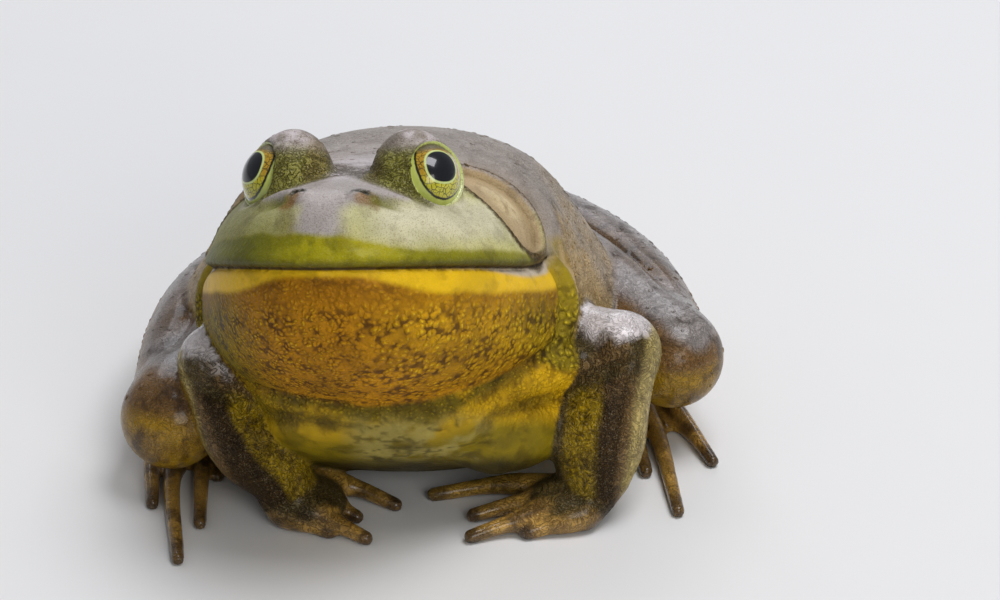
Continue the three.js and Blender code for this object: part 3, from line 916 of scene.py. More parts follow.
@dataclass(frozen=True)
class LegShape(Limb):
    """One folded hind limb from hip to toe tips, with the web between the toes."""

    hip: Point
    knee: Point
    ankle: Point
    heel: Point
    thigh_bow: Point
    shank_bow: Point
    tarsus_bow: Point
    toes: tuple[Line, ...]
    thigh_radii: Radii = (9.0, 10.4, 9.9, 8.2)
    shank_radii: Radii = (7.8, 8.4, 7.8, 5.8)
    tarsus_radii: Radii = (5.4, 4.6, 4.4, 4.2)
    sole_radii: Point = (4.6, 8.0, 2.9)
    toe_radii: Radii = (2.6, 2.0, 1.4, 1.15)
    shade_line: tuple[float, float] = (3.5, 0.7)
    web_reach: Radii = (0.92, 0.86, 0.78, 0.62, 0.9)
    web_dip: float = 0.16
    web_bottom: float = 0.4
    web_top: float = 1.4

    def root(self) -> Root:
        """Returns: how the leg leaves the trunk."""
        return Root(self.hip, reach=30.0, wide=7.0, narrow=0.9)

    def thigh(self) -> Tube:
        """Returns: the thigh."""
        return self.bent(self.hip, self.knee, self.thigh_bow, self.thigh_radii)

    def shank(self) -> Tube:
        """Returns: the shank."""
        return self.bent(self.knee, self.ankle, self.shank_bow, self.shank_radii)

    def tarsus(self) -> Tube:
        """Returns: the long ankle between shank and foot."""
        return self.bent(self.ankle, self.heel, self.tarsus_bow, self.tarsus_radii)

    def digits(self) -> list[Tube]:
        """Returns: the toes, from the inner one out."""
        return [Tube(path, self.toe_radii, 12) for path in self.toes]

    def web_outline(self) -> Array:
        """Returns: the web's edge in plan, round from the inner toe's root."""
        curves = [spine_points(path, 41)[:, :2] for path in self.toes]
        fronts = []
        for i, curve in enumerate(curves):
            fronts.append((*curve[round(40 * self.web_reach[i])], 0.0))
            if i + 1 < len(curves):
                here, there = (curves[k][round(40 * (self.web_reach[k] - self.web_dip))]
                               for k in (i, i + 1))
                fronts.append((*(here + there) / 2, 0.0))
        return np.vstack([curves[0][:1], spine_points(fronts, 50)[:, :2], curves[-1][:1]])

    def web_distance(self, x: Array, y: Array, z: Array) -> Array:
        """Returns: distances to the flat web between the toes."""
        edge = self.web_outline()
        flat_x, flat_y = x[:, :, 0], y[:, :, 0]
        near = np.full(np.broadcast(flat_x, flat_y).shape, 1e9)
        within = np.zeros(near.shape, bool)
        for p, q in zip(edge, np.roll(edge, -1, axis=0)):
            step, dx, dy = q - p, flat_x - p[0], flat_y - p[1]
            t = np.clip((dx * step[0] + dy * step[1]) / max(step @ step, 1e-9), 0, 1)
            near = np.minimum(near, (dx - t * step[0]) ** 2 + (dy - t * step[1]) ** 2)
            if step[1]:
                meets = (p[1] > flat_y) != (q[1] > flat_y)
                within ^= meets & (dx < step[0] * dy / step[1])
        flat = np.where(within, -1, 1) * np.sqrt(near)
        level = np.abs(z - (self.web_bottom + self.web_top) / 2)
        level = level - (self.web_top - self.web_bottom) / 2
        return np.maximum(flat[:, :, None], level).astype(np.float32)

    def build(self, grid: Block) -> tuple[Block, Window]:
        """Works out the leg by itself. Returns: its block and its window."""
        block, spans = self.window(grid, self.thigh(), self.shank(), self.tarsus())
        block.join(self.thigh(), 1.0)
        shank = Block(block.axes)
        shank.join(self.shank(), 1.0)
        from_knee = apart(self.knee, *block.points(ALL))
        crease = ease(1.4, 0, np.abs(block.values - shank.values)) * ease(9, 20, from_knee)
        crease = crease * ease(2.5, 0, np.abs(np.minimum(block.values, shank.values)))
        block.values = blend_low(block.values, shank.values, 0.6 + 4.0 * ease(14, 6, from_knee))
        block.values += 1.3 * crease
        foot = Block(block.axes)
        foot.join(self.tarsus(), 1.0)
        foot.join(Ball(self.toes[2][0], self.sole_radii), 2.4)
        for toe in self.digits():
            foot.join(toe, 1.2)
        ends = np.array(self.toes).reshape(-1, 3)
        window = foot.span(ends.min(0) - 2, ends.max(0) + 2, margin=1)
        web = self.web_distance(*foot.points(window))
        foot.values[window] = blend_low(foot.values[window], web, 0.9)
        from_ankle = apart(self.ankle, *block.points(ALL))
        block.values = blend_low(block.values, foot.values, 0.8 + 3.0 * ease(12, 5, from_ankle))
        return block, spans


@dataclass(frozen=True)
class SoftForms:
    """Full places and folds where the limbs press on the trunk."""

    belly_roll: Tube = Tube(((37.0, 30, 19), (34.6, 27, 15.6), (29, 23, 14.6)), (5.0, 6.4, 5.4))
    armpits: tuple[Tube, ...] = (
        Tube(((30, 21, 28), (37, 25.5, 26.4), (44.5, 31, 25)), (2.4, 3.4, 3.4)),
        Tube(((-4, 19, 27), (-9, 23.5, 26), (-14, 28.5, 24.6)), (2.4, 3.4, 3.4)))
    fringe: Tube = Tube(((44.6, 31, 21.5), (42.4, 27.4, 15.6), (43, 24.6, 9.4)), (2.6, 3.8, 3.4))
    folds: tuple[Line, ...] = (
        ((42.0, 25.7, 21.2), (37.5, 21.5, 22.6), (33.1, 18.9, 23.6), (28.0, 15.4, 24.6)),
        ((-10.2, 21.4, 20.8), (-4, 12.5, 25.1), (1.0, 11.0, 24.6), (6.1, 10.4, 24.8)),
        ((40, 26.4, 31.6), (33, 19, 30.4), (26.4, 13.4, 28.5)),
        ((-6, 24, 31), (-2, 16, 30.4), (4, 10, 29.8)),
        ((42.8, 28.8, 24.2), (46.6, 27.2, 25.4), (51, 27.8, 27.4)),
        ((-23.4, 28, 24.6), (-19.4, 24.8, 23.6), (-15.4, 24.2, 22)))
    fold_radii: Radii = (0.2, 0.8, 0.8, 0.2)


ARMS = (
    ArmShape(
        Side.LEFT, (31, 47, 16), (50.4, 34, 26), (47, 23.2, 8.4), (41.6, 21.8, 3.3),
        (0.5, 0, 2), (-0.8, -0.4, -0.4),
        (((41, 25.5, 3.4), (31, 29, 2.4), (18.4, 27.8, 1.05)),
         ((39, 22, 2.8), (32, 22.4, 2.2), (25.2, 21, 1.05)),
         ((39, 19, 2.8), (31, 16.4, 2.1), (24.8, 14, 1.05)),
         ((44, 18.6, 2.6), (39.5, 16.6, 2), (34.5, 15.2, 1.05)))),
    ArmShape(
        Side.RIGHT, (-2, 45, 17), (-18.4, 31, 25.2), (-8, 22.4, 8.6), (-3.8, 22, 3.3),
        (-0.5, 0, 2), (-1.6, -0.6, -0.6),
        (((-4, 26, 4.4), (4.6, 27.6, 2.6), (11.8, 24.4, 1.05)),
         ((-3, 22, 2.8), (1, 22.4, 2.2), (5.2, 20.4, 1.05)),
         ((-3, 19.4, 2.8), (2.2, 16.2, 2.1), (6.9, 13.4, 1.05)),
         ((-7, 19.4, 2.6), (-3.4, 17.4, 2), (0.4, 15.6, 1.05)))),
)

LEGS = (
    LegShape(
        Side.LEFT, (21, 100, 15), (59.6, 46.8, 17.4), (34, 109, 12.2), (47, 80, 4),
        (0.6, 0.6, 0.9), (3.8, 3.2, -0.6), (1, 1, -1.2),
        (((46, 74, 2.6), (44, 63, 2.2), (42, 54, 0.95)),
         ((47, 74, 2.6), (47.5, 58, 2.2), (47.5, 44, 0.95)),
         ((48, 74, 2.6), (52, 54, 2.2), (55, 35.5, 0.95)),
         ((49, 74, 2.6), (56.5, 49, 2.2), (60.3, 22.5, 0.95)),
         ((50, 75, 2.6), (60, 56, 2.2), (66.5, 39, 0.95)))),
    LegShape(
        Side.RIGHT, (9, 98, 15), (-26.6, 33, 13.4), (-6, 100, 11.6), (-18.5, 70, 4),
        (-1, 1.5, 1.5), (-5.4, 0, 1.8), (-1, 1, -1.2),
        (((-17, 64, 2.6), (-16, 53, 2.2), (-14.5, 44.5, 0.95)),
         ((-18, 64, 2.6), (-18.5, 48, 2.2), (-19, 34, 0.95)),
         ((-18.5, 64, 2.6), (-21.5, 40, 2.2), (-21.6, 18.5, 0.95)),
         ((-19.5, 64, 2.6), (-26.5, 36, 2.2), (-25, 7, 0.95)),
         ((-20.5, 65, 2.6), (-30, 44, 2.2), (-30, 25, 0.95))),
        shade_line=(7.5, -0.2)),
)


# ---- markings


def linear(red: int, green: int, blue: int) -> Array:
    """Returns: a colour written as it is seen, 0 to 255, in linear light."""
    part = np.array((red, green, blue), float) / 255
    return np.where(part <= 0.04045, part / 12.92, ((part + 0.055) / 1.055) ** 2.4)


def seen(red: int, green: int, blue: int) -> Array:
    """Returns: a dataclass field that holds a colour as it is seen."""
    return field(default_factory=lambda: linear(red, green, blue))


@dataclass(frozen=True)
class Palette:
    """The frog's skin colours, named by where they lie. Crown, back and the sheen colours also
    carry painted sky sheen on wet skin; the shadow and shade colours are painted shade.
    """

    # crown: grey-lilac, partly the skin's own grey and partly painted sky sheen on wet skin
    crown: Array = seen(178, 169, 166)
    lid: Array = seen(140, 136, 60)
    cheek: Array = seen(206, 202, 150)
    upper_lip: Array = seen(168, 158, 14)
    lid_top: Array = seen(116, 104, 84)
    crown_pale: Array = seen(200, 190, 192)
    cheek_pale: Array = seen(216, 210, 186)
    lip_green: Array = seen(112, 112, 18)
    rust: Array = seen(138, 100, 40)
    fold: Array = seen(126, 100, 58)
    lip_shadow: Array = seen(62, 54, 18)
    lower_lip: Array = seen(236, 190, 22)
    inner_lip: Array = seen(206, 192, 170)
    throat: Array = seen(204, 140, 4)
    throat_bright: Array = seen(226, 176, 10)
    throat_green: Array = seen(136, 124, 8)
    jaw_corner: Array = seen(156, 134, 26)
    ear: Array = seen(186, 162, 122)
    ear_middle: Array = seen(212, 192, 150)
    ear_rim: Array = seen(120, 98, 56)
    # back: grey-brown, partly own colour and partly painted sky sheen where it faces up
    back: Array = seen(160, 150, 142)
    flank: Array = seen(192, 162, 110)
    chest: Array = seen(194, 157, 22)
    chest_dark: Array = seen(112, 96, 8)
    belly: Array = seen(142, 122, 14)
    belly_pale: Array = seen(176, 160, 84)
    # belly marks and shade: dark clouds and squiggles, and painted shade in folds and under the
    # belly
    belly_dark: Array = seen(84, 72, 26)
    arm: Array = seen(86, 70, 30)
    arm_dark: Array = seen(62, 42, 8)
    arm_inner: Array = seen(172, 142, 8)
    arm_side: Array = seen(122, 94, 54)
    arm_sheen: Array = seen(230, 221, 221)
    arm_rim: Array = seen(206, 184, 112)
    leg_top: Array = seen(156, 148, 146)
    leg_side: Array = seen(128, 92, 44)
    leg_low: Array = seen(172, 132, 4)
    digit: Array = seen(196, 152, 70)
    digit_dark: Array = seen(78, 54, 28)


@dataclass(frozen=True)
class Paint:
    """Colours and grain amounts laid over the skin's points, one over another."""

    points: Array
    normals: Array
    tone: Array
    amounts: dict[str, Array]
    part: Amount = 1.0

    @classmethod
    def over(cls, points: Array, normals: Array, ground: Array) -> "Paint":
        """Returns: paint of one ground colour over the whole skin."""
        amounts = {name: np.zeros(len(points)) for name in (*GRAINS, "warts")}
        amounts["lips"] = np.full(len(points), FAR_FROM_LIPS)
        return cls(points, normals, np.tile(ground, (len(points), 1)), amounts)

    def on(self, part: Array) -> "Paint":
        """Returns: the same paint, kept to a part of the skin."""
        return replace(self, part=self.part * part)

    def lay(self, colour: Array, weight: Amount = 1.0) -> None:
        """Lays a colour over what is there, as far as the weight says."""
        share = np.clip(self.part * weight, 0, 1)[:, None]
        self.tone[:] = self.tone * (1 - share) + colour * share

    def set(self, weight: Amount = 1.0, **amounts: Amount) -> None:
        """Sets grain amounts by name, as far as the weight says."""
        share = np.clip(self.part * weight, 0, 1)
        for name, amount in amounts.items():
            self.amounts[name][:] = self.amounts[name] * (1 - share) + amount * share

    def rough(self, size: float, seed: int, stretch: Point = (1, 1, 1)) -> Array:
        """Returns: noise at the skin's points, finer along what is stretched."""
        return rough_noise(self.points * stretch, size, seed)


# ---- node finish


class Nodes:
    """Adds and links the nodes of one tree with few words."""

    def __init__(self, tree: bpy.types.NodeTree) -> None:
        """Starts with that tree."""
        self.tree = tree

    def add(self, kind: str, inputs: dict[int | str, object] | None = None,
            **settings: object) -> bpy.types.Node:
        """Adds a node.

        Args:
            kind: the node's type. inputs: what each socket is linked or set to.
            settings: the node's own settings, which are made first.

        Returns:
            The node.
        """
        node = self.tree.nodes.new(kind)
        for name, value in settings.items():
            setattr(node, name, value)
        for name, value in (inputs or {}).items():
            self.put(node.inputs[name], value)
        return node

    def put(self, socket: Socket, value: object) -> None:
        """Links an output to a socket, or sets the socket to a plain value."""
        if isinstance(value, Socket):
            self.tree.links.new(value, socket)
        elif isinstance(value, tuple) and len(value) < len(socket.default_value):
            socket.default_value = (*value, 1.0)
        else:
            socket.default_value = value


class Graph(Nodes):
    """The nodes of one material, with its surface shader."""

    def __init__(self, name: str) -> None:
        """Starts an empty material."""
        self.material = bpy.data.materials.new(name)
        self.material.use_nodes = True
        super().__init__(self.material.node_tree)
        self.tree.nodes.clear()
        self.shader = self.add("ShaderNodeBsdfPrincipled")
        self.add("ShaderNodeOutputMaterial", {"Surface": self.shader.outputs[0]})

    def place(self) -> Socket:
        """Returns: places on the piece."""
        return self.add("ShaderNodeTexCoord").outputs["Object"]

    def stored(self, name: str, output: str = "Fac") -> Socket:
        """Returns: a value kept on the mesh."""
        return self.add("ShaderNodeAttribute", attribute_name=name).outputs[output]

    def maths(self, operation: str, a: object, b: object = 0.0) -> Socket:
        """Returns: the result of one sum."""
        return self.add("ShaderNodeMath", {0: a, 1: b}, operation=operation).outputs[0]

    def times(self, a: object, b: object) -> Socket:
        """Returns: the product."""
        return self.maths("MULTIPLY", a, b)

    def mix(self, share: object, a: object, b: object, kind: str = "MIX") -> Socket:
        """Returns: two colours mixed."""
        return self.add("ShaderNodeMix", {0: share, 6: a, 7: b}, data_type="RGBA",
                        blend_type=kind).outputs[2]

    def stained(self, share: object, tone: Socket, dark_colour: Colour) -> Socket:
        """Returns: a tone, darkened by a multiplied colour as far as the share says; used for real
        specks and blotches and for painted shade.
        """
        return self.mix(share, tone, self.mix(1.0, tone, dark_colour, "MULTIPLY"))

    def spread(self, value: object, low: float, high: float, start: float = 0.0,
               end: float = 1.0) -> Socket:
        """Returns: a value moved smoothly from one range to another."""
        return self.add("ShaderNodeMapRange", dict(enumerate((value, low, high, start, end))),
                        interpolation_type="SMOOTHSTEP").outputs[0]

    def noise(self, where: Socket, size: float, detail: float = 2.0, rough: float = 0.5,
              bend: float = 0.0) -> Socket:
        """Returns: noise whose lumps are about size wide."""
        return self.add("ShaderNodeTexNoise", {
            "Vector": where, "Scale": 1 / size, "Detail": detail, "Roughness": rough,
            "Distortion": bend}).outputs["Fac"]

    def cells(self, where: Socket, size: float, feature: str) -> Socket:
        """Returns: distances in a pattern of cells about size wide."""
        return self.add("ShaderNodeTexVoronoi", {"Vector": where, "Scale": 1 / size},
                        feature=feature).outputs["Distance"]

    def warped(self, where: Socket, size: float, push: float) -> Socket:
        """Returns: places pushed aside by noise."""
        noise = self.add("ShaderNodeTexNoise", {"Vector": where, "Scale": 1 / size, "Detail": 1.0})
        return self.add("ShaderNodeVectorMath", {0: noise.outputs["Color"], 1: (push,) * 3,
                                                 2: where}, operation="MULTIPLY_ADD").outputs[0]

    def relief(self, height: Socket, depth: float, strength: float = 1.0) -> Socket:
        """Returns: normals bent by a height whose unit is depth metres."""
        return self.add("ShaderNodeBump", {"Strength": strength, "Distance": depth,
                                           "Height": height}).outputs[0]

    def finish(self, **sockets: object) -> Material:
        """Sets the shader's sockets by name, with _ for a space. Returns: the material."""
        for name, value in sockets.items():
            self.put(self.shader.inputs[name.replace("_", " ")], value)
        return self.material


@dataclass(frozen=True)
class SkinFinish:
    """Wet frog skin: cells, specks, blotches and wrinkles over the painted tones, with painted
    highlights on the beads and painted shade in gaps, wrinkles and the mouth line.
    """

    name: str = "frog_skin"
    fine_cell: float = 0.0008
    coarse_cell: float = 0.00115
    speck: float = 0.00024
    blotch: float = 0.0042
    relief: float = 0.00075
    cell_light: Colour = (0.95, 0.62, 0.02)
    cell_gap: Colour = (0.22, 0.19, 0.06)
    dark_speck: Colour = (0.5, 0.44, 0.32)
    pale_speck: Colour = (0.62, 0.58, 0.42)
    blotch_stain: Colour = (0.3, 0.26, 0.22)
    wrinkle_stain: Colour = (0.35, 0.3, 0.2)
    cloud_stain: Colour = (0.82, 0.82, 0.8)
    mouth_gap: Colour = (0.022, 0.014, 0.004)

    def make(self) -> Material:
        """Returns: the material."""
        g = Graph(self.name)
        where, tone = g.place(), g.stored("tone", "Color")
        grain, coarse, stipple, mottle, wet, wrinkle = (g.stored(name) for name in GRAINS)
        bent = g.warped(g.warped(where, 0.003, 0.0012), 0.0009, 0.0006)
        cell = g.mix(coarse, g.cells(bent, self.fine_cell, "F1"),
                     g.cells(bent, self.coarse_cell, "F1"))
        # Bead tops lightened: partly the granules' own gold, partly painted highlight.
        tone = g.mix(g.times(g.spread(cell, 0.34, 0.08), grain), tone,
                     g.mix(0.4, tone, self.cell_light, "SCREEN"))
        # Gaps between the beads darkened: partly their own dark colour, partly painted shade.
        broken = g.spread(g.noise(where, 0.0024), 0.38, 0.62, 0.25, 1.0)
        crease = g.times(g.times(g.spread(cell, 0.40, 0.66), grain), broken)
        tone = g.stained(crease, tone, self.cell_gap)
        dots = g.noise(where, self.speck, 3.0, 0.65)
        tone = g.stained(g.times(g.spread(dots, 0.53, 0.62), stipple), tone, self.dark_speck)
        pale = g.times(g.spread(dots, 0.45, 0.36), stipple)
        tone = g.mix(g.times(pale, 0.4), tone, self.pale_speck)
        lumps = g.noise(g.warped(where, 0.006, 0.003), self.blotch, 4.0, 0.6)
        tone = g.stained(g.times(g.spread(lumps, 0.5, 0.66), mottle), tone, self.blotch_stain)
        clouds = g.spread(g.noise(where, 0.009, 3.0, 0.55), 0.35, 0.65)
        tone = g.mix(1.0, tone, g.mix(clouds, self.cloud_stain, (1.0, 1.0, 1.0)), "MULTIPLY")
        # Painted shade: near black along the closed mouth's line.
        gap = g.spread(g.maths("ABSOLUTE", g.stored("lips")), 0.42, 0.12)
        tone = g.mix(g.times(gap, 0.9), tone, self.mouth_gap)
        lines = g.noise(g.warped(where, 0.004, 0.004), 0.0011, 2.0, 0.5, 1.2)
        ridged = g.maths("ABSOLUTE", g.maths("SUBTRACT", lines, 0.5))
        # Painted shade: wrinkle grooves darkened.
        sunk = g.times(g.spread(ridged, 0.045, 0.0), wrinkle)
        tone = g.stained(g.times(sunk, 0.6), tone, self.wrinkle_stain)
        tiny, folds = g.noise(where, 0.00028, 2.0, 0.6), g.spread(ridged, 0.0, 0.09)
        height = g.times(g.times(g.spread(cell, 0.7, 0.1), grain), 0.7)
        for part, share in ((tiny, 0.09), (g.noise(where, 0.0012), 0.3),
                            (g.times(folds, wrinkle), 0.55)):
            height = g.maths("ADD", height, g.times(part, share))
        rough = g.maths("ADD", g.spread(wet, 0, 1, 0.52, 0.27), g.times(tiny, 0.08))
        return g.finish(Base_Color=tone, Roughness=rough, Normal=g.relief(height, self.relief),
                        Coat_Weight=g.spread(wet, 0.3, 1.0, 0.02, 0.75), Coat_Roughness=0.17,
                        Specular_IOR_Level=0.14)


@dataclass(frozen=True)
class EyeFinish:
    """Pupil, pale ring, gold iris with a dark net, the green white of the eye, and a painted
    shadow of the upper lid over its top.
    """

    name: str = "frog_eye"
    pupil: float = 0.285
    ring: float = 0.318
    border: float = 0.60
    roundness: float = 2.3
    black: Colour = (0.004, 0.005, 0.008)
    pale_ring: Colour = (0.58, 0.66, 0.24)
    dark_rim: Colour = (0.012, 0.012, 0.004)
    net: Colour = (0.02, 0.016, 0.004)
    fleck: Colour = (0.05, 0.04, 0.01)
    gold: tuple[Colour, Colour] = ((0.62, 0.38, 0.02), (0.30, 0.17, 0.01))
    green: tuple[Colour, Colour] = ((0.50, 0.55, 0.03), (0.62, 0.48, 0.02))
    haze: tuple[Colour, Colour] = ((0.17, 0.14, 0.06), (0.07, 0.06, 0.03))
    white: tuple[Colour, Colour] = ((0.42, 0.50, 0.08), (0.62, 0.66, 0.18))

    def make(self) -> Material:
        """Returns: the material. The map's unit is a right angle from the gaze."""
        g = Graph(self.name)
        flat = g.add("ShaderNodeUVMap", uv_map="gaze").outputs[0]
        across, up = g.add("ShaderNodeSeparateXYZ", {0: flat}).outputs[:2]
        sides = (g.maths("POWER", g.maths("ABSOLUTE", part), self.roundness)
                 for part in (across, g.times(up, 1.04)))
        out = g.maths("POWER", g.maths("ADD", *sides), 1 / self.roundness)
        backward = g.times(g.maths("SUBTRACT", across, 0.065), 1.2)
        raised = g.maths("SUBTRACT", up, 0.045)
        stretched = g.maths("ADD", g.times(backward, backward), g.times(raised, raised))
        uneven = g.times(g.maths("SUBTRACT", g.noise(flat, 0.09), 0.5), 0.03)
        rim = g.maths("ADD", g.maths("SQRT", stretched), uneven)
        net = g.spread(g.cells(g.warped(flat, 0.12, 0.09), 0.085, "DISTANCE_TO_EDGE"), 0.10, 0.02)
        flecks = g.spread(g.noise(flat, 0.028, 3.0, 0.7), 0.5, 0.66)
        gold = g.mix(g.noise(flat, 0.11, 3.0), *self.gold)
        green = g.mix(g.noise(flat, 0.09, 3.0), *self.green)
        # Painted shadow of the upper lid, laid across the top of the eyeball.
        haze = g.mix(g.spread(g.noise(flat, 0.03, 3.0, 0.7), 0.4, 0.6), *self.haze)
        white = g.mix(g.noise(flat, 0.2), *self.white)
        tone = g.mix(g.spread(up, -0.06, -0.28), gold, green)
        for share, colour in (
                (g.times(net, 0.85), self.net),
                (g.times(flecks, 0.5), self.fleck),
                (g.spread(up, 0.27, 0.40), haze),
                (g.spread(rim, self.border - 0.015, self.border + 0.01), self.dark_rim),
                (g.spread(rim, self.border + 0.03, self.border + 0.055), white),
                (g.spread(out, self.ring + 0.012, self.ring - 0.006), self.pale_ring),
                (g.spread(out, self.pupil + 0.008, self.pupil - 0.008), self.black)):
            tone = g.mix(share, tone, colour)
        shaded = g.spread(up, 0.22, 0.36)
        rough = g.maths("ADD", 0.25, g.times(shaded, 0.35))
        wet = g.maths("SUBTRACT", 1.0, g.times(shaded, 0.9))
        return g.finish(Base_Color=tone, Roughness=rough, Coat_Weight=wet,
                        Coat_Roughness=0.02, Coat_IOR=1.45, Specular_IOR_Level=0.2)


@dataclass(frozen=True)
class MarginFinish:
    """The moist naked edge of the lids, pale below and dark above."""

    name: str = "lid_margin"
    speck: Colour = (0.05, 0.045, 0.01)

    def make(self) -> Material:
        """Returns: the material."""
        g = Graph(self.name)
        where = g.place()
        specks = g.times(g.spread(g.noise(where, 0.0004, 2.0, 0.6), 0.52, 0.64), 0.45)
        tone = g.mix(specks, g.stored("tone", "Color"), self.speck)
        return g.finish(Base_Color=tone, Roughness=0.3, Coat_Weight=0.6, Coat_Roughness=0.08,
                        Normal=g.relief(g.noise(where, 0.0005), 0.0002, 0.5))


@dataclass(frozen=True)
class PlainFinish:
    """A matt studio surface."""

    name: str = "studio_floor"
    colour: Colour = (0.80, 0.80, 0.79)

    def make(self) -> Material:
        """Returns: the material."""
        g = Graph(self.name)
        darker = tuple(0.985 * part for part in self.colour)
        tone = g.mix(g.noise(g.place(), 0.02), self.colour, darker)
        return g.finish(Base_Color=tone, Roughness=0.9)


# ---- pieces


def placed(name: str, data: bpy.types.ID) -> Object:
    """Returns: a new object in the scene."""
    thing = bpy.data.objects.new(name, data)
    bpy.context.scene.collection.objects.link(thing)
    return thing


def plain_mesh(name: str, points: Array, faces: Array | Sequence, finish: Material) -> Object:
    """A smooth mesh object in the scene.

    Args:
        name: the piece's name. points: rows of metres. faces: corner numbers.
        finish: its material.

    Returns:
        The object, at the origin.
    """
    mesh = bpy.data.meshes.new(name)
    mesh.from_pydata(np.asarray(points).tolist(), [], [list(map(int, f)) for f in faces])
    mesh.polygons.foreach_set("use_smooth", np.ones(len(mesh.polygons), bool))
    mesh.materials.append(finish)
    mesh.update()
    return placed(name, mesh)


def keep_value(piece: Object, name: str, values: Array) -> None:
    """Stores one number or one colour for each point of a piece."""
    if values.ndim == 1:
        stored = piece.data.attributes.new(name, "FLOAT", "POINT")
        stored.data.foreach_set("value", values.astype(np.float32))
        return
    stored = piece.data.color_attributes.new(name, "FLOAT_COLOR", "POINT")
    full = np.ones((len(values), 4), np.float32)
    full[:, :3] = values
    stored.data.foreach_set("color", full.ravel())


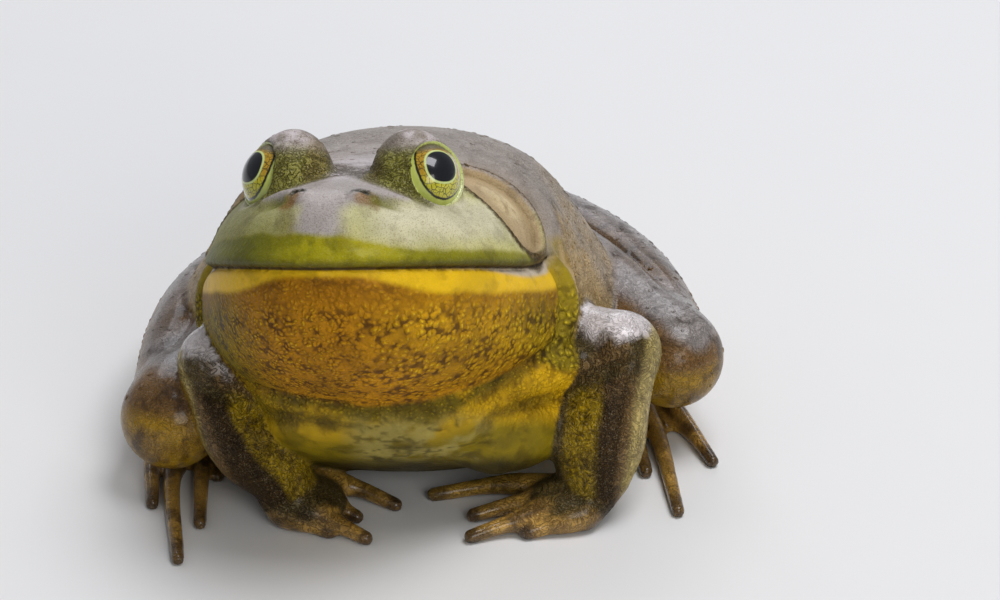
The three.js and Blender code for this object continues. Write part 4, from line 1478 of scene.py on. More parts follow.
@dataclass
class Skin:
    """The frog's whole skin, head to toe tips, as one closed surface."""

    offset: Array
    head: HeadShape = field(default_factory=HeadShape)
    trunk: TrunkShape = field(default_factory=TrunkShape)
    palette: Palette = field(default_factory=Palette)
    low: Point = (-42, -3, -1.2)
    high: Point = (77, 127, 76)
    feet_top: float = 4
    head_low: float = 34
    head_back: float = 50
    fine_step: float = 0.61
    broad_step: float = 1.06
    floor_step: float = 0.5
    flat_below: float = 0.06
    soft: SoftForms = field(default_factory=SoftForms)
    creases: list[Tube] = field(default_factory=list)

    def grid(self) -> Block:
        """Returns: an empty grid that is finest at the head and close to the floor."""
        fine, broad, (right, front, under) = self.fine_step, self.broad_step, self.low
        x = np.arange(right, self.high[0], fine + 0.05)
        y = np.concatenate([np.arange(front, self.head_back, fine),
                            np.arange(self.head_back, self.high[1], broad)])
        z = np.concatenate([np.arange(under, self.feet_top, self.floor_step),
                            np.arange(self.feet_top, self.head_low, broad - 0.1),
                            np.arange(self.head_low, self.high[2], fine - 0.05)])
        return Block([x, y, z])

    def build(self) -> tuple[Array, Array, dict[str, Array], Array]:
        """Works out the surface.

        Returns:
            Its points and faces, how far each point is from each part, and its normals.
        """
        grid = self.grid()
        self.trunk.build(grid)
        parts = {"trunk": Block(grid.axes)}
        parts["trunk"].values = grid.values.copy()
        parts["head"], spans = self.head.build(grid)
        x, y, z = grid.points(spans)
        nape = ease(30, 44, self.head.place.inward(x, y, z)[1]) * ease(36, 50, z)
        width = 1.4 + 5.2 * nape
        grid.values[spans] = blend_low(grid.values[spans], parts["head"].values, width)
        for limb in ARMS + LEGS:
            parts[limb.name()], spans = limb.build(grid)
            self.meet(grid, parts[limb.name()], spans, limb.root())
        self.carve(grid)
        grid.values = np.maximum(grid.values, -grid.axes[2][None, None, :])
        points, faces = largest_part(*surface_of(grid))
        points = settle(grid, points, faces, 3)
        points[:, 2] = np.where(points[:, 2] < self.flat_below, 0.0, points[:, 2])
        normals = unit(grid.sample(points)[1])
        away = {name: self.away(block, points) for name, block in parts.items()}
        return points, faces, away, normals

    def meet(self, grid: Block, block: Block, spans: Window, root: Root) -> None:
        """Joins a limb, with a broad fillet at its root and a crease elsewhere."""
        far = apart(root.place, *grid.points(spans))
        width = root.narrow + (root.wide - root.narrow) * ease(root.reach, root.reach * 0.45, far)
        grid.values[spans] = blend_low(grid.values[spans], block.values, width)

    def carve(self, grid: Block) -> None:
        """Fills the belly and armpits out, and presses their folds in."""
        grid.join(self.soft.belly_roll, 4.0)
        for armpit in self.soft.armpits:
            grid.join(armpit, 3.0)
        grid.join(self.soft.fringe, 2.4)
        for points in self.soft.folds:
            groove = Tube(grid.line_on(points, -0.25), self.soft.fold_radii)
            grid.cut(groove, 2.2)
            self.creases.append(groove)

    def away(self, block: Block, points: Array) -> Array:
        """Returns: each point's distance to one part, or FAR outside its window."""
        low, high = (np.array([axis[end] for axis in block.axes]) for end in (0, -1))
        within = ((points > low) & (points < high)).all(1)
        away = np.full(len(points), FAR)
        away[within] = block.sample(points[within])[0]
        return away

    def paint(self, points: Array, normals: Array, away: dict[str, Array]) -> Paint:
        """Lays the frog's colours over its points. Returns: the paint."""
        paint = Paint.over(points, normals, self.palette.flank)
        self.paint_trunk(paint)
        head = ease(-0.7, 0.5, away["trunk"] - away["head"]) * ease(5, 3.5, away["head"])
        self.paint_head(paint.on(head))
        body = np.minimum(away["trunk"], away["head"])
        for limb in ARMS + LEGS:
            limb_away = away[limb.name()]
            near = ease(-0.5, 0.5, body - limb_away) * ease(3, 2, limb_away)
            lay = self.paint_arm if isinstance(limb, ArmShape) else self.paint_leg
            lay(paint.on(near), limb)
        # Painted shade: darker along the folds carved into chest, belly and arms.
        for crease in self.creases:
            deep = ease(1.2, 0.1, crease.distance(*points.T) + 0.2 * paint.rough(1.6, 51))
            paint.lay(self.palette.belly_dark * 0.8, deep * 0.6)
        return paint

    def paint_trunk(self, paint: Paint) -> None:
        """Back grey-brown with painted sky sheen where it faces up, flanks tan, chest and belly
        yellow with dark clouds, and painted shade low on the belly.
        """
        tones = self.palette
        x, y, z = paint.points.T
        ragged = paint.rough(7, 3)
        up = paint.normals[:, 2] + 0.18 * ragged
        across = x - self.trunk.middle_x(y)
        # Painted sheen: grey laid where the back faces up, partly its own grey-brown, partly sky
        # sheen on wet skin.
        paint.lay(tones.back, ease(0.3, 0.75, up))
        front = ease(42, 30, y + 3 * ragged) * ease(38, 33, z)
        under = ease(-0.1, -0.4, up) * ease(24, 14, z + 3 * ragged)
        under = np.maximum(np.maximum(front, under), ease(14, 7, z + 2 * ragged))
        low, top = paint.on(under), paint.on(1 - under)
        low.lay(tones.belly)
        level = 0.866 * z + 0.5 * y + 0.8 * ragged
        fold = 24.2 + 3.0 * ease(4, 22, across)
        low.lay(tones.chest, ease(fold - 1.5, fold + 1.5, level))
        low.lay(tones.chest_dark, ease(0.05, 0.4, paint.rough(6, 11)) * 0.75)
        dip = 27.4 + 11.0 * ease(8, 26, across) + 6.0 * ease(-4, -16, across)
        over_dip = ease(dip - 0.6, dip + 0.9, level)
        low.lay(tones.chest_dark, over_dip * 0.9)
        # Brighter yellow on the frog's left of the chest: partly own colour, partly painted light
        # on that side.
        warm = ease(6, 18, across) * ease(dip + 1.2, dip - 0.6, level) * ease(26, 30, level)
        low.lay(tones.throat_bright, warm * 0.85)
        clouds = ease(-0.05, 0.3, paint.rough(4.6, 13, (1, 1, 1.4)))
        clouds = clouds * ease(dip + 1, dip - 1, level) * ease(24, 14, np.abs(across - 3))
        low.lay(tones.belly_dark * 1.1, clouds * 0.5)
        low.lay(tones.chest, ease(0.1, 0.4, paint.rough(5, 77, (1, 1, 1.6))) * over_dip * 0.4)
        low.lay(tones.throat_bright, ease(1.9, 1.0, np.hypot(x - 23.6, level - 32.8)) * 0.8)
        middle = ease(14, 8, np.abs(across - 5)) * ease(30, 26, level) * ease(19, 22, level)
        low.lay(tones.belly_pale, ease(-0.3, 0.05, paint.rough(4, 21)) * middle * 0.85)
        squiggle = ease(0.1, 0.02, np.abs(paint.rough(6, 31, (1, 1, 1.8))))
        low.lay(tones.belly_dark, squiggle * middle * 0.8)
        # Painted shade: the low front of the belly darker where it turns under.
        paint.lay(tones.belly_dark * 0.6, ease(22.5, 19.5, level) * front)
        # Painted shade: darker near the floor, under the belly.
        low.lay(tones.belly_dark * 0.5, ease(5.5, 2.0, z))
        calm = 0.25 * ease(0.6, 0.9, up)
        top.set(stipple=0.6, mottle=0.5 - calm, wrinkle=0.5 - calm, wet=0.45,
                warts=0.25 + 0.6 * ease(0.75, 0.3, up))
        low.set(grain=0.6 * ease(25, 31, level), mottle=0.45, wet=0.25)

    def paint_head(self, paint: Paint) -> None:
        """Lips, cheeks, crown, lids, throat, eardrums and corners, with painted sky sheen,
        highlights and shade.
        """
        tones, head = self.palette, self.head
        a, b, c = head.place.inward(*paint.points.T)
        wide = np.abs(a)
        off = c - head.mouth_line(b)
        ragged, fine = paint.rough(4, 41), paint.rough(1.6, 51)
        rise = ease(-0.3, 0.3, off)
        above, below = paint.on(rise), paint.on(1 - rise)
        # Painted sheen: the crown's grey-lilac under everything above the lips is partly own grey,
        # partly sky sheen on wet skin.
        above.lay(tones.crown)
        # Painted sheen: a paler lilac over the crown round and between the eyes.
        above.lay(tones.crown_pale, ease(11, 18, b) * ease(46, 34, b) * 0.85)
        above.lay(tones.back, ease(38, 52, b + 3 * ragged))
        ridge = Profile((0, 10.4), (8, 10.8), (20, 12.4), (28, 15.8), (33, 16.4), (40, 14.4),
                        (45, 10.8), (48.4, 6.6), (52, 0))(b)
        cheek = ease(ridge + 0.9, ridge - 0.9, c + 0.7 * ragged)
        # Painted sheen: the crown's grey stays on a stripe down the muzzle's ridge, as sky sheen
        # on wet skin.
        muzzle_sheen = ease(6.0, 2.4, np.abs(a + 0.6) + 1.2 * ragged + 0.4 * fine)
        muzzle_sheen = muzzle_sheen * ease(4.4, 6.4, off + ragged)
        cheek = cheek * (1 - muzzle_sheen) * ease(50, 47, b + 0.3 * c)
        above.lay(tones.cheek, cheek)
        # Painted highlight: a pale sheen along the middle of the frog's left cheek.
        shine = ease(4.4, 1.4, np.abs(c - 7.6 + 0.9 * ragged) - 0.4) * ease(5, 11, a)
        above.lay(tones.cheek_pale, cheek * shine * ease(36, 28, b) * 0.7)
        olive = np.maximum(ease(9.4, 12.4, c + ragged), ease(26, 34, b)) * ease(0.2, -0.2, fine)
        above.lay(tones.lid, cheek * olive * 0.45)
        band = Profile((0, 5.4), (3, 5.6), (9, 4.0), (20, 2.7), (30, 2.4))(wide)
        # The lip band is wider and greener on the frog's right side: partly own colour, partly
        # painted shade of that side.
        band = band + 2.0 * ease(3, 12, -a) * ease(28, 20, -a)
        lip = ease(band + 0.6, band - 0.4, off + 0.6 * ragged) * ease(49, 46, b)
        above.lay(tones.upper_lip, lip)
        shade = ease(0.05, 0.4, paint.rough(3.4, 57))
        sides = np.maximum(ease(0, 14, -a), 0.7 * ease(8, 18, a))
        above.lay(tones.lip_green, lip * np.maximum(0.6 * shade, sides))
        shaded = ease(2.4, 0.6, np.abs(a + 6.6 + 0.8 * ragged)) * ease(4.5, 7, off)
        above.lay(tones.fold * 0.8, shaded * ease(12.6, 11, c) * 0.5)
        cheek_low = ease(band + 5.5, band, off + 1.4 * ragged) * (1 - lip) * cheek
        above.lay(tones.upper_lip, cheek_low * 0.3)
        # Olive green over the frog's right cheek: partly the skin's own green, partly painted
        # shade of that side.
        above.lay(tones.lip_green, cheek * (1 - lip) * ease(-2, 16, -a) * 0.6)
        # Painted shade: dark along the upper lip's lower edge, above the mouth line.
        above.lay(tones.lip_shadow, ease(2.0, 0.2, off + 0.4 * fine) * 0.75)
        below.lay(tones.throat)
        # The throat is brighter on the frog's left and greener on its right: partly own colour,
        # partly painted light and shade of the two sides.
        below.lay(tones.throat_bright, ease(2, 20, a) * ease(-24, -12, c) * 0.6)
        green = np.maximum(ease(8, 24, -a + 2 * ragged), ease(23, 30, a) * 0.7)
        below.lay(tones.throat_green, green * 0.85)
        below.lay(tones.throat * 0.6, ease(0.0, 0.5, paint.rough(5, 91)) * 0.45)
        # Painted shade: the throat darker just under the lower lip.
        below.lay(tones.throat * (0.5, 0.45, 0.5), ease(8, 2.0, -off - 1.5 + ragged) * 0.7)
        thick = 1.3 + 2.9 * ease(5, 19, wide + 0.8 * ragged)
        edge = ease(thick + 0.7, thick - 0.6, -off + 0.3 * ragged)
        below.lay(tones.lower_lip, edge * ease(48.5, 44, b))
        deep = 0.35 + 1.3 * ease(22, 28.5, wide)
        corner = ease(14, 24, wide) * ease(deep + 0.3, deep - 0.3, -off) * ease(-0.1, 0.2, -off)
        paint.lay(tones.inner_lip, corner * ease(48, 46.5, b))
        jaw = ease(43.5, 47, b - 0.1 * c) * ease(-24, -16, c)
        paint.lay(tones.jaw_corner, np.maximum((1 - rise) * jaw, ease(4, 2, off)
                                               * ease(46.5, 48, b)))
        paint.lay(tones.flank, ease(50.5, 52.5, b) * ease(-14, -8, c) * ease(8, 2, c + 2 * ragged))
        mouth = (paint.part > 0.05) & (b < head.mouth_length - 1.6)
        paint.amounts["lips"][:] = np.where(mouth, off, FAR_FROM_LIPS)
        paint.set(wet=0.2, warts=0.0, mottle=0.3, wrinkle=0.0)
        above.set(1 - cheek, wet=0.45)
        above.set((1 - cheek) * ease(20, 30, b), warts=0.35)
        below.set(1 - edge, grain=0.45 + 0.55 * ease(5, 9, -off + ragged), coarse=ease(-4, 12, a))
        below.set(stipple=0.0)
        above.set(1 - lip, stipple=0.65)
        above.set(lip, stipple=0.25)
        above.set(grain=0.0)
        below.set(edge, stipple=0.12, grain=0.0)
        paint.set(np.maximum(rise * lip, (1 - rise) * edge), wet=0.4)
        self.paint_lids(paint, fine)
        self.paint_nostrils(paint, fine)
        self.paint_ears(paint)

    def paint_lids(self, paint: Paint, fine: Array) -> None:
        """Yellow-green, dark-wrinkled faces of the domes in front of the eyes."""
        tones, head, points = self.palette, self.head, paint.points
        a, b, c = head.place.inward(*points.T)
        for side in Side:
            own = side.value * a
            away = apart(head.eye.dome, own, b, c)
            dome = ease(12.4, 9.2, away + 0.5 * fine) * ease(8.8, 10.8, c)
            dome = dome * np.maximum(ease(16.5, 14.5, own + 0.5 * fine), ease(12, 14, c))
            on = paint.on(dome)
            on.lay(tones.lid_top, ease(-0.5, 0.3, fine) * 0.75)
            on.lay(tones.lid, ease(21.2, 18.4, c + fine) * ease(27, 22, b) * ease(2.2, 4.2, own))
            brown = ease(7.5, 5.5, own + fine) * ease(2.6, 4.4, own) * ease(12, 15, c)
            on.lay(tones.ear_rim, brown * 0.55)
            on.set(ease(21, 18, c), wrinkle=1.1)
            on.set(stipple=1.0, wet=0.2, warts=0.3)
            below = apart(head.place.out(side.of(head.eye.centre)), *points.T)
            below = ease(1.1, 0.3, np.abs(below - 7.7))
            below = below * ease(-2.6, -4.0, c - head.eye.centre[2]) * ease(9, 11, own)
            paint.lay(tones.cheek_pale, below * 0.7)

    def paint_nostrils(self, paint: Paint, fine: Array) -> None:
        """Slits darkened with painted shade, with a rough rusty patch and a painted green shadow
        below each.
        """
        tones, head, places = self.palette, self.head, paint.points.T
        for side in Side:
            patch = Tube(head.line(side, (6.0, 5.6, 11.3), (7.6, 6.6, 10.6)), (0.7, 0.8), 4)
            paint.lay(tones.rust, ease(1.1, 0.1, patch.distance(*places) + fine) * 0.8)
            shadow = Tube(head.line(side, (7.6, 7.2, 11), (12.4, 10.8, 9)), (0.4, 0.5), 6)
            away, along = shadow.place(*places)
            paint.lay(tones.lip_green, 0.75 * ease(1.6, 0.0, away) * ease(1, 0.4, along))
            # Painted shade: each nostril's slit darkened.
            slit = Tube(head.line(side, *head.nostril[1].points), (0.3, 0.55, 0.3), 6)
            paint.lay(tones.lip_shadow * 0.4, ease(0.6, 0.2, slit.distance(*places)))

    def paint_ears(self, paint: Paint) -> None:
        """Brown eardrums with a pale speckled middle and a dark granular edge."""
        tones, head, places = self.palette, self.head, paint.points.T
        specks = paint.rough(0.9, 97)
        rise = head.place.inward(*places)[2]
        for side in Side:
            out, off, upper = head.ear_places(side, *places)
            on = paint.on(ease(9, 7, np.abs(off)))
            beyond = ease(0.98, 1.06, out) * ease(-3, 1, upper) * ease(0, 3, rise)
            beyond = beyond * ease(2.0, 1.3, out + 0.3 * specks)
            on.lay(tones.back * (0.95, 0.86, 0.74), beyond * 0.75)
            on.lay(tones.ear, ease(1.02, 0.96, out))
            lower = ease(0.11, 0.04, np.abs(out - 1.05) + 0.04 * specks) * ease(1.5, -1.5, upper)
            on.lay(tones.ear_rim * 0.8, lower)
            on.set(lower, wrinkle=1.2)
            on.lay(tones.ear_rim, ease(0.06, 0.02, np.abs(out - 0.9)) * 0.5)
            on.lay(tones.ear_middle, ease(0.6, 0.25, out + 0.1 * specks))
            on.lay(tones.rust, ease(0.5, 0.2, out) * ease(0.1, 0.5, specks) * 0.5)
            on.set(ease(1.1, 0.9, out), wrinkle=0.0, stipple=0.5)
            on.set(ease(1.1, 1.0, out), warts=0.0)
            over = ease(0.12, 0.05, np.abs(out - 1.13) + 0.02 * specks) * ease(-3, 0.5, upper)
            on.lay(tones.fold, over * 0.85)
            on.set(over, wrinkle=1.0)

    def paint_arm(self, paint: Paint, arm: ArmShape) -> None:
        """Dark arms with a yellow grainy inner side, a painted pale reflection along the outer
        edge and painted sheen on the elbow's top.
        """
        tones, outward, points = self.palette, arm.side.value, paint.points
        x, y, z = points.T
        ragged, level = paint.rough(5, 61), paint.normals[:, 2]
        paint.lay(tones.arm)
        paint.set(wet=0.5, stipple=0.5, mottle=0.6, grain=0.0, wrinkle=0.8)
        paint.set(ease(10, 14, z), warts=0.1)
        away, along = arm.lower().place(x, y, z)
        centres = arm.lower().line()[0]
        middle = np.stack([np.interp(along, np.linspace(0, 1, len(centres)), centres[:, k])
                           for k in range(3)], 1)
        radial = unit(points - middle)
        lower = paint.on(ease(1.5, 0.2, away))
        turned = outward * radial[:, 0] + 0.12 * ragged
        lower.lay(tones.arm_side, ease(-0.1, 0.35, turned) * ease(28, 22, z))
        span = 0.2 + 0.09 * (1 - outward)
        dark = ease(0.22, 0.0, np.abs(turned - 0.08) - span) * ease(0.0, 0.4, -radial[:, 1])
        dark = dark * ease(27.5, 23.5, z + 2 * ragged)
        lower.lay(tones.arm_dark, dark * 0.95)
        lower.set(dark, wet=0.25)
        facing = -outward * radial[:, 0] + 0.25 * (1 - outward) * radial[:, 2]
        inner = lower.on(ease(0.06, 0.3, facing + 0.12 * ragged) * ease(25, 22.5, z + ragged))
        armpit = paint.on(ease(22, 24, z) * ease(0.8, 0.6, level) * ease(0.35, 0.1, turned))
        armpit.lay(tones.arm_side, 0.8)
        armpit.set(wet=0.3, wrinkle=1.3)
        inner.lay(tones.arm_inner)
        inner.set(grain=0.8, coarse=0.6)
        # Painted reflection: a pale rim along the forearm's outer edge.
        rim = outward * radial[:, 0] - 0.2 * np.maximum(radial[:, 1], 0) + 0.04 * ragged
        rim = rim - 0.1 * (1 - outward)
        lower.lay(tones.arm_rim, ease(0.5, 0.74, rim) * 0.9)
        # Painted sheen: pale lilac-white on the up-facing top of elbow and upper arm, as sky sheen
        # on wet skin.
        jagged = 0.2 * paint.rough(2.2, 63, (1, 1, 0.4)) + 0.1 * ragged
        raised = level + jagged + 0.13 * (1 - outward)
        beside = np.minimum(outward * (x - arm.elbow[0]) + 2, 0)
        height = z + 3 * jagged - 0.8 * outward + 0.4 * beside
        top = paint.on(ease(0.64, 0.88, raised) * ease(26.4, 29, height))
        top.lay(tones.arm_sheen)
        top.set(wet=0.8, mottle=0.1, stipple=0.15)
        top.set(ease(0.75, 0.95, raised), wrinkle=0.35)
        self.paint_digits(paint, arm)
        paint.lay(tones.chest * 0.8, ease(20, 12, z) * ease(24, 32, y) * 0.7)

    def paint_digits(self, paint: Paint, limb: Limb) -> None:
        """Olive-gold fingers and toes with darker blotches and tips."""
        tones, blotch = self.palette, ease(0.0, 0.4, paint.rough(3.2, 83))
        for digit in limb.digits():
            away, along = digit.place(*paint.points.T)
            on = paint.on(ease(0.9, 0.1, away))
            on.lay(tones.digit)
            on.lay(tones.digit_dark, blotch * 0.75)
            on.lay(tones.digit_dark, ease(0.86, 0.97, along) * 0.8)
            on.set(wrinkle=0.7, mottle=0.5, wet=1.0)

    def paint_leg(self, paint: Paint, leg: LegShape) -> None:
        """Painted grey-lilac sky sheen above, brown at the side with painted shade in the knee's
        crease, and mottled yellow-olive below.
        """
        tones = self.palette
        x, y, z = paint.points.T
        ragged = paint.rough(6, 71)
        paint.lay(tones.leg_side)
        up = paint.normals[:, 2] + 0.2 * ragged
        top = up + 0.028 * (z - 17)
        out, back = leg.side.value * (x - leg.knee[0]), y - leg.knee[1]
        rise_at, slope = leg.shade_line
        level = 0.87 * (z - leg.knee[2]) + 0.5 * back + slope * out - rise_at + 1.5 * ragged
        # Painted sheen: grey-lilac on the leg's up-facing top, above the shade line.
        paint.lay(tones.leg_top, ease(0.5, 0.85, top) * ease(-1.5, 2.0, level))
        low = np.maximum(ease(0.42, 0.05, top), ease(-5, -10, level) * ease(30, 20, back))
        paint.lay(tones.leg_low, low)
        thigh, shank = leg.thigh().distance(x, y, z), leg.shank().distance(x, y, z)
        # Painted shade: darker brown in the crease between thigh and shank.
        between = ease(6.5, 0.6, np.maximum(thigh, shank) + 0.6 * ragged) * ease(10, 20, back)
        paint.lay(tones.leg_side * 0.6, between * ease(-0.2, 0.3, up))
        clouds = ease(0.0, 0.5, paint.rough(7, 73)) * ease(2, -2, level)
        paint.lay(tones.leg_side * 0.7, clouds * 0.6)
        paint.set(wet=0.68, stipple=0.45, mottle=0.8, grain=0.0, wrinkle=0.4)
        paint.set(ease(10, 14, z), warts=0.3)
        paint.set(ease(14, 10, z), warts=0.0)
        paint.lay(tones.digit, ease(6.5, 4.0, z))
        self.paint_digits(paint, leg)

    def dress(self) -> Object:
        """Builds the skin, paints it, and lets it stand for the flesh.

        Returns:
            The skin's object.
        """
        points, faces, away, normals = self.build()
        paint = self.paint(points, normals, away)
        skin = plain_mesh("skin", (points - self.offset) * MM, faces, SkinFinish().make())
        keep_value(skin, "tone", paint.tone)
        for name, amount in paint.amounts.items():
            keep_value(skin, name, amount)
        flesh = [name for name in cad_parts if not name.startswith("eye_")]
        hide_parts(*flesh)
        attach(skin, ROOT)
        LOG.info("skin: %d points, %d faces", len(points), len(faces))
        return skin


@dataclass
class Warts:
    """The small round warts that Geometry Nodes strews over the skin."""

    spacing: float = 0.0014
    crowding: float = 420000.0
    smallest: float = 0.00025
    largest: float = 0.0006
    flatness: float = 0.3
    seed: int = 7

    def inputs(self, group: bpy.types.NodeTree, finish: Material) -> dict[str, object]:
        """Adds the group's named inputs. Returns: each input's value, by its identifier."""
        wanted = [("Geometry", "Geometry", None), ("Finish", "Material", finish)]
        for item in fields(self):
            kind = "Int" if item.type is int else "Float"
            wanted.append((item.name.title(), kind, getattr(self, item.name)))
        values = {}
        for name, kind, value in wanted:
            socket = group.interface.new_socket(name, in_out="INPUT",
                                                socket_type=f"NodeSocket{kind}")
            if value is not None:
                values[socket.identifier] = value
        group.interface.new_socket("Geometry", in_out="OUTPUT", socket_type="NodeSocketGeometry")
        return values

    def tree(self, finish: Material) -> tuple[bpy.types.NodeTree, dict[str, object]]:
        """Builds the group: strew points, put a flat dome on each, make them one mesh.

        Args:
            finish: the material that the warts get.

        Returns:
            The group, and its inputs' values by identifier.
        """
        group = bpy.data.node_groups.new("warts", "GeometryNodeTree")
        values, add = self.inputs(group, finish), Nodes(group).add
        given = add("NodeGroupInput").outputs
        amount = add("GeometryNodeInputNamedAttribute", {"Name": "warts"}).outputs["Attribute"]
        strewn = add("GeometryNodeDistributePointsOnFaces", {
            "Mesh": given["Geometry"], "Distance Min": given["Spacing"],
            "Density Max": given["Crowding"], "Density Factor": amount,
            "Seed": given["Seed"]}, distribute_method="POISSON").outputs
        ball = add("GeometryNodeMeshUVSphere", {"Segments": 8, "Rings": 5, "Radius": 1.0})
        flat = add("ShaderNodeCombineXYZ", {"X": 1.0, "Y": 1.0, "Z": given["Flatness"]})
        dome = add("GeometryNodeTransform", {"Geometry": ball.outputs[0],
                                             "Scale": flat.outputs[0]})
        size = add("FunctionNodeRandomValue", {2: given["Smallest"], 3: given["Largest"],
                                               "Seed": given["Seed"]})
        shape = add("GeometryNodeInstanceOnPoints", {
            "Points": strewn["Points"], "Instance": dome.outputs[0],
            "Rotation": strewn["Rotation"], "Scale": size.outputs[1]})
        for kind in ("RealizeInstances", "SetShadeSmooth"):
            shape = add(f"GeometryNode{kind}", {"Geometry": shape.outputs[0]})
        coated = add("GeometryNodeSetMaterial", {"Geometry": shape.outputs[0],
                                                 "Material": given["Finish"]})
        add("NodeGroupOutput", {"Geometry": coated.outputs[0]})
        return group, values

    def dress(self, skin: Object) -> None:
        """Strews the warts over the skin and keeps them as one plain mesh."""
        finish = skin.data.materials[0]
        ground = placed("wart_ground", skin.data.copy())
        group, values = self.tree(finish)
        modifier = ground.modifiers.new("warts", "NODES")
        modifier.node_group = group
        for identifier, value in values.items():
            modifier[identifier] = value
        shaped = ground.evaluated_get(bpy.context.evaluated_depsgraph_get())
        mesh = bpy.data.meshes.new_from_object(shaped)
        bpy.data.objects.remove(ground)
        bpy.data.node_groups.remove(group)
        warts = placed("warts", mesh)
        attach(warts, ROOT)
        LOG.info("warts: %d points, %d faces", len(mesh.vertices), len(mesh.polygons))


@dataclass
class Eye:
    """One eyeball with its iris, and the moist edge of its lids."""

    side: Side
    offset: Array
    place: HeadFrame = field(default_factory=HeadFrame)
    shape: EyeShape = field(default_factory=EyeShape)
    bulge: float = 0.22
    sides: int = 72
    rings: int = 48
    margin_sides: int = 8
    margin_thickness: float = 0.42

    def upright(self, direction: Point) -> Places:
        """Returns: right, up and forward for a direction in the laying-out frame."""
        forward = np.array(direction)
        right = np.cross(self.place.axes()[2], forward)
        right /= np.linalg.norm(right)
        return right, np.cross(forward, right), forward

    def around(self, first: Array, count: int) -> Pair:
        """Returns: some angles, each paired with even turns, as two columns."""
        turns = np.arange(count) * 2 * math.pi / count
        return np.repeat(first, count)[:, None], np.tile(turns, len(first))[:, None]

    def ball(self, finish: Material) -> Object:
        """Builds the eyeball round its gaze, with the cornea's low bulge. Returns: it."""
        radius, sides = self.shape.radius, self.sides
        centre = np.array(self.place.out(self.side.of(self.shape.centre)))
        right, up, forward = self.upright(self.place.turned(self.shape.gaze(self.side)))
        lean, turn = self.around(math.pi * np.arange(1, self.rings) / self.rings, sides)
        cos, sin = np.cos(turn), np.sin(turn)
        ahead = forward * np.cos(lean) + (right * cos + up * sin) * np.sin(lean)
        points = np.vstack([centre + forward * (radius + self.bulge),
                            centre + (radius + self.bulge * ease(0.95, 0.2, lean)) * ahead,
                            centre - forward * radius])
        share = lean / (math.pi / 2)
        maps = np.vstack([(0.0, 0.0), np.hstack([self.side.value * share * cos, share * sin]),
                          (2.0, 0.0)])
        faces, last = [], len(points) - 1
        for step in range(sides):
            after = (step + 1) % sides
            faces.append((0, 1 + step, 1 + after))
            for ring in range(self.rings - 2):
                a, b = 1 + ring * sides + step, 1 + ring * sides + after
                faces.append((a, a + sides, b + sides, b))
            low = 1 + (self.rings - 2) * sides
            faces.append((low + step, last, low + after))
        name = f"eyeball_{self.side.word}"
        piece = plain_mesh(name, (points - self.offset) * MM, faces, finish)
        layer = piece.data.uv_layers.new(name="gaze")
        corners = np.zeros(len(piece.data.loops), np.int64)
        piece.data.loops.foreach_get("vertex_index", corners)
        layer.data.foreach_set("uv", maps[corners].astype(np.float32).ravel())
        return piece

    def margin(self, finish: Material) -> Object:
        """Builds the lids' moist edge as a thin ring that hugs the eyeball. Returns: it."""
        shape, rolls, thick = self.shape, self.margin_sides, self.margin_thickness
        right, up, forward = self.upright(self.place.turned(shape.opening(self.side)))
        middle = np.array(self.place.out(self.side.of(shape.centre)))
        middle = middle + forward * (shape.lid_plane + 0.25)
        turn, roll = self.around(2 * math.pi * np.arange(self.sides) / self.sides, rolls)
        flat = right * np.cos(turn) + up * np.sin(turn)
        points = middle + flat * (shape.lid_radius - 0.14 + thick * np.cos(roll))
        points = points + forward * thick * 1.1 * np.sin(roll)
        share = ease(0.5, -0.7, np.sin(turn))
        tones = linear(188, 196, 110) * (1 - share) + linear(208, 212, 146) * share
        faces = [(s + k, (s + rolls + k) % len(points),
                  (s + rolls + (k + 1) % rolls) % len(points), s + (k + 1) % rolls)
                 for s in range(0, len(points), rolls) for k in range(rolls)]
        name = f"lid_margin_{self.side.word}"
        piece = plain_mesh(name, (points - self.offset) * MM, faces, finish)
        keep_value(piece, "tone", tones)
        return piece

    def dress(self, eye_finish: Material, margin_finish: Material) -> None:
        """Builds both pieces and lets the ball stand for the solid eye."""
        ball = self.ball(eye_finish)
        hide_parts(f"eye_{self.side.word}")
        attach(ball, ROOT)
        margin = self.margin(margin_finish)
        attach(margin, ROOT)
        LOG.info("eye and lid margin: %s", self.side.word)


# ---- studio


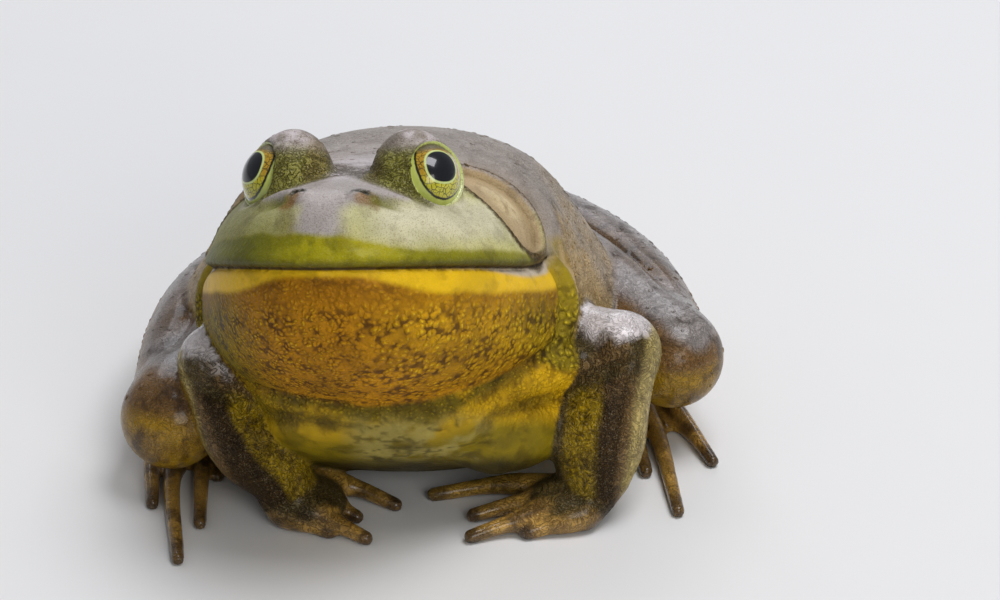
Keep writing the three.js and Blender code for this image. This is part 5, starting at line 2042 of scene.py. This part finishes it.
@dataclass(frozen=True)
class Studio:
    """Pale floor, soft lamps and the camera."""

    offset: Array
    target: Point = (29.75, 30.0, 38.4)
    distance: float = 1.4
    elevation: float = math.radians(30)
    lens: float = 296.5

    def floor(self) -> None:
        """Lays the floor."""
        reach = 4.0
        corners = [(-reach, -reach, 0), (reach, -reach, 0), (reach, reach, 0), (-reach, reach, 0)]
        floor = plain_mesh("floor", np.array(corners), [(0, 1, 2, 3)], PlainFinish().make())

    def lamp(self, name: str, place: Point, size: float, power: float, colour: Colour) -> None:
        """Hangs a square soft lamp that faces the frog."""
        light = bpy.data.lights.new(name, "AREA")
        light.shape, light.size, light.energy, light.color = "SQUARE", size, power, colour
        lamp = placed(name, light)
        lamp.location = place
        aim = Vector((0, 0, 0.03)) - Vector(place)
        lamp.rotation_euler = aim.to_track_quat("-Z", "Y").to_euler()

    def lights(self) -> None:
        """Hangs the lamps and sets the even light of the room."""
        self.lamp("overhead", (0.30, -0.05, 1.0), size=0.5, power=6.5, colour=(0.96, 0.96, 1.0))
        self.lamp("behind", (-0.05, 0.95, 0.62), size=0.7, power=4.0, colour=(0.92, 0.93, 1.0))
        self.lamp("front", (0.42, -1.15, 0.62), size=0.6, power=4.3, colour=(1.0, 0.98, 0.94))
        world = bpy.data.worlds.new("room")
        world.use_nodes = True
        room = world.node_tree.nodes["Background"]
        room.inputs["Color"].default_value = (0.93, 0.95, 1.0, 1.0)
        room.inputs["Strength"].default_value = 0.26
        bpy.context.scene.world = world

    def camera(self) -> None:
        """Sets the camera, level across and looking down on the frog's face."""
        data = bpy.data.cameras.new("camera")
        data.lens, data.sensor_width = self.lens, 36.0
        data.clip_end = 20.0
        camera = placed("camera", data)
        target = Vector((np.array(self.target) - self.offset) * MM)
        back = Vector((0, -math.cos(self.elevation), math.sin(self.elevation)))
        camera.location = target + self.distance * back
        camera.rotation_euler = (math.pi / 2 - self.elevation, 0, 0)
        bpy.context.scene.camera = camera

    def dress(self) -> None:
        """Sets up floor, lamps and camera."""
        self.floor()
        self.lights()
        self.camera()
        bpy.context.scene.view_settings.view_transform = "Standard"


def laying_out_offset() -> Array:
    """Returns: the model's origin in the laying-out frame, in millimetres."""
    drawn = np.array(HeadFrame().out(EyeShape().centre))
    low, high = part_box("eye_left")
    return drawn - np.array((low + high) / 2) / MM


def main() -> None:
    """Builds the frog and the studio."""
    logging.basicConfig(level=logging.INFO, format="%(name)s: %(message)s")
    offset = laying_out_offset()
    Studio(offset).dress()
    Warts().dress(Skin(offset).dress())
    eye_finish, margin_finish = EyeFinish().make(), MarginFinish().make()
    for side in Side:
        Eye(side, offset).dress(eye_finish, margin_finish)
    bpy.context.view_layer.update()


if __name__ == "__main__":
    main()
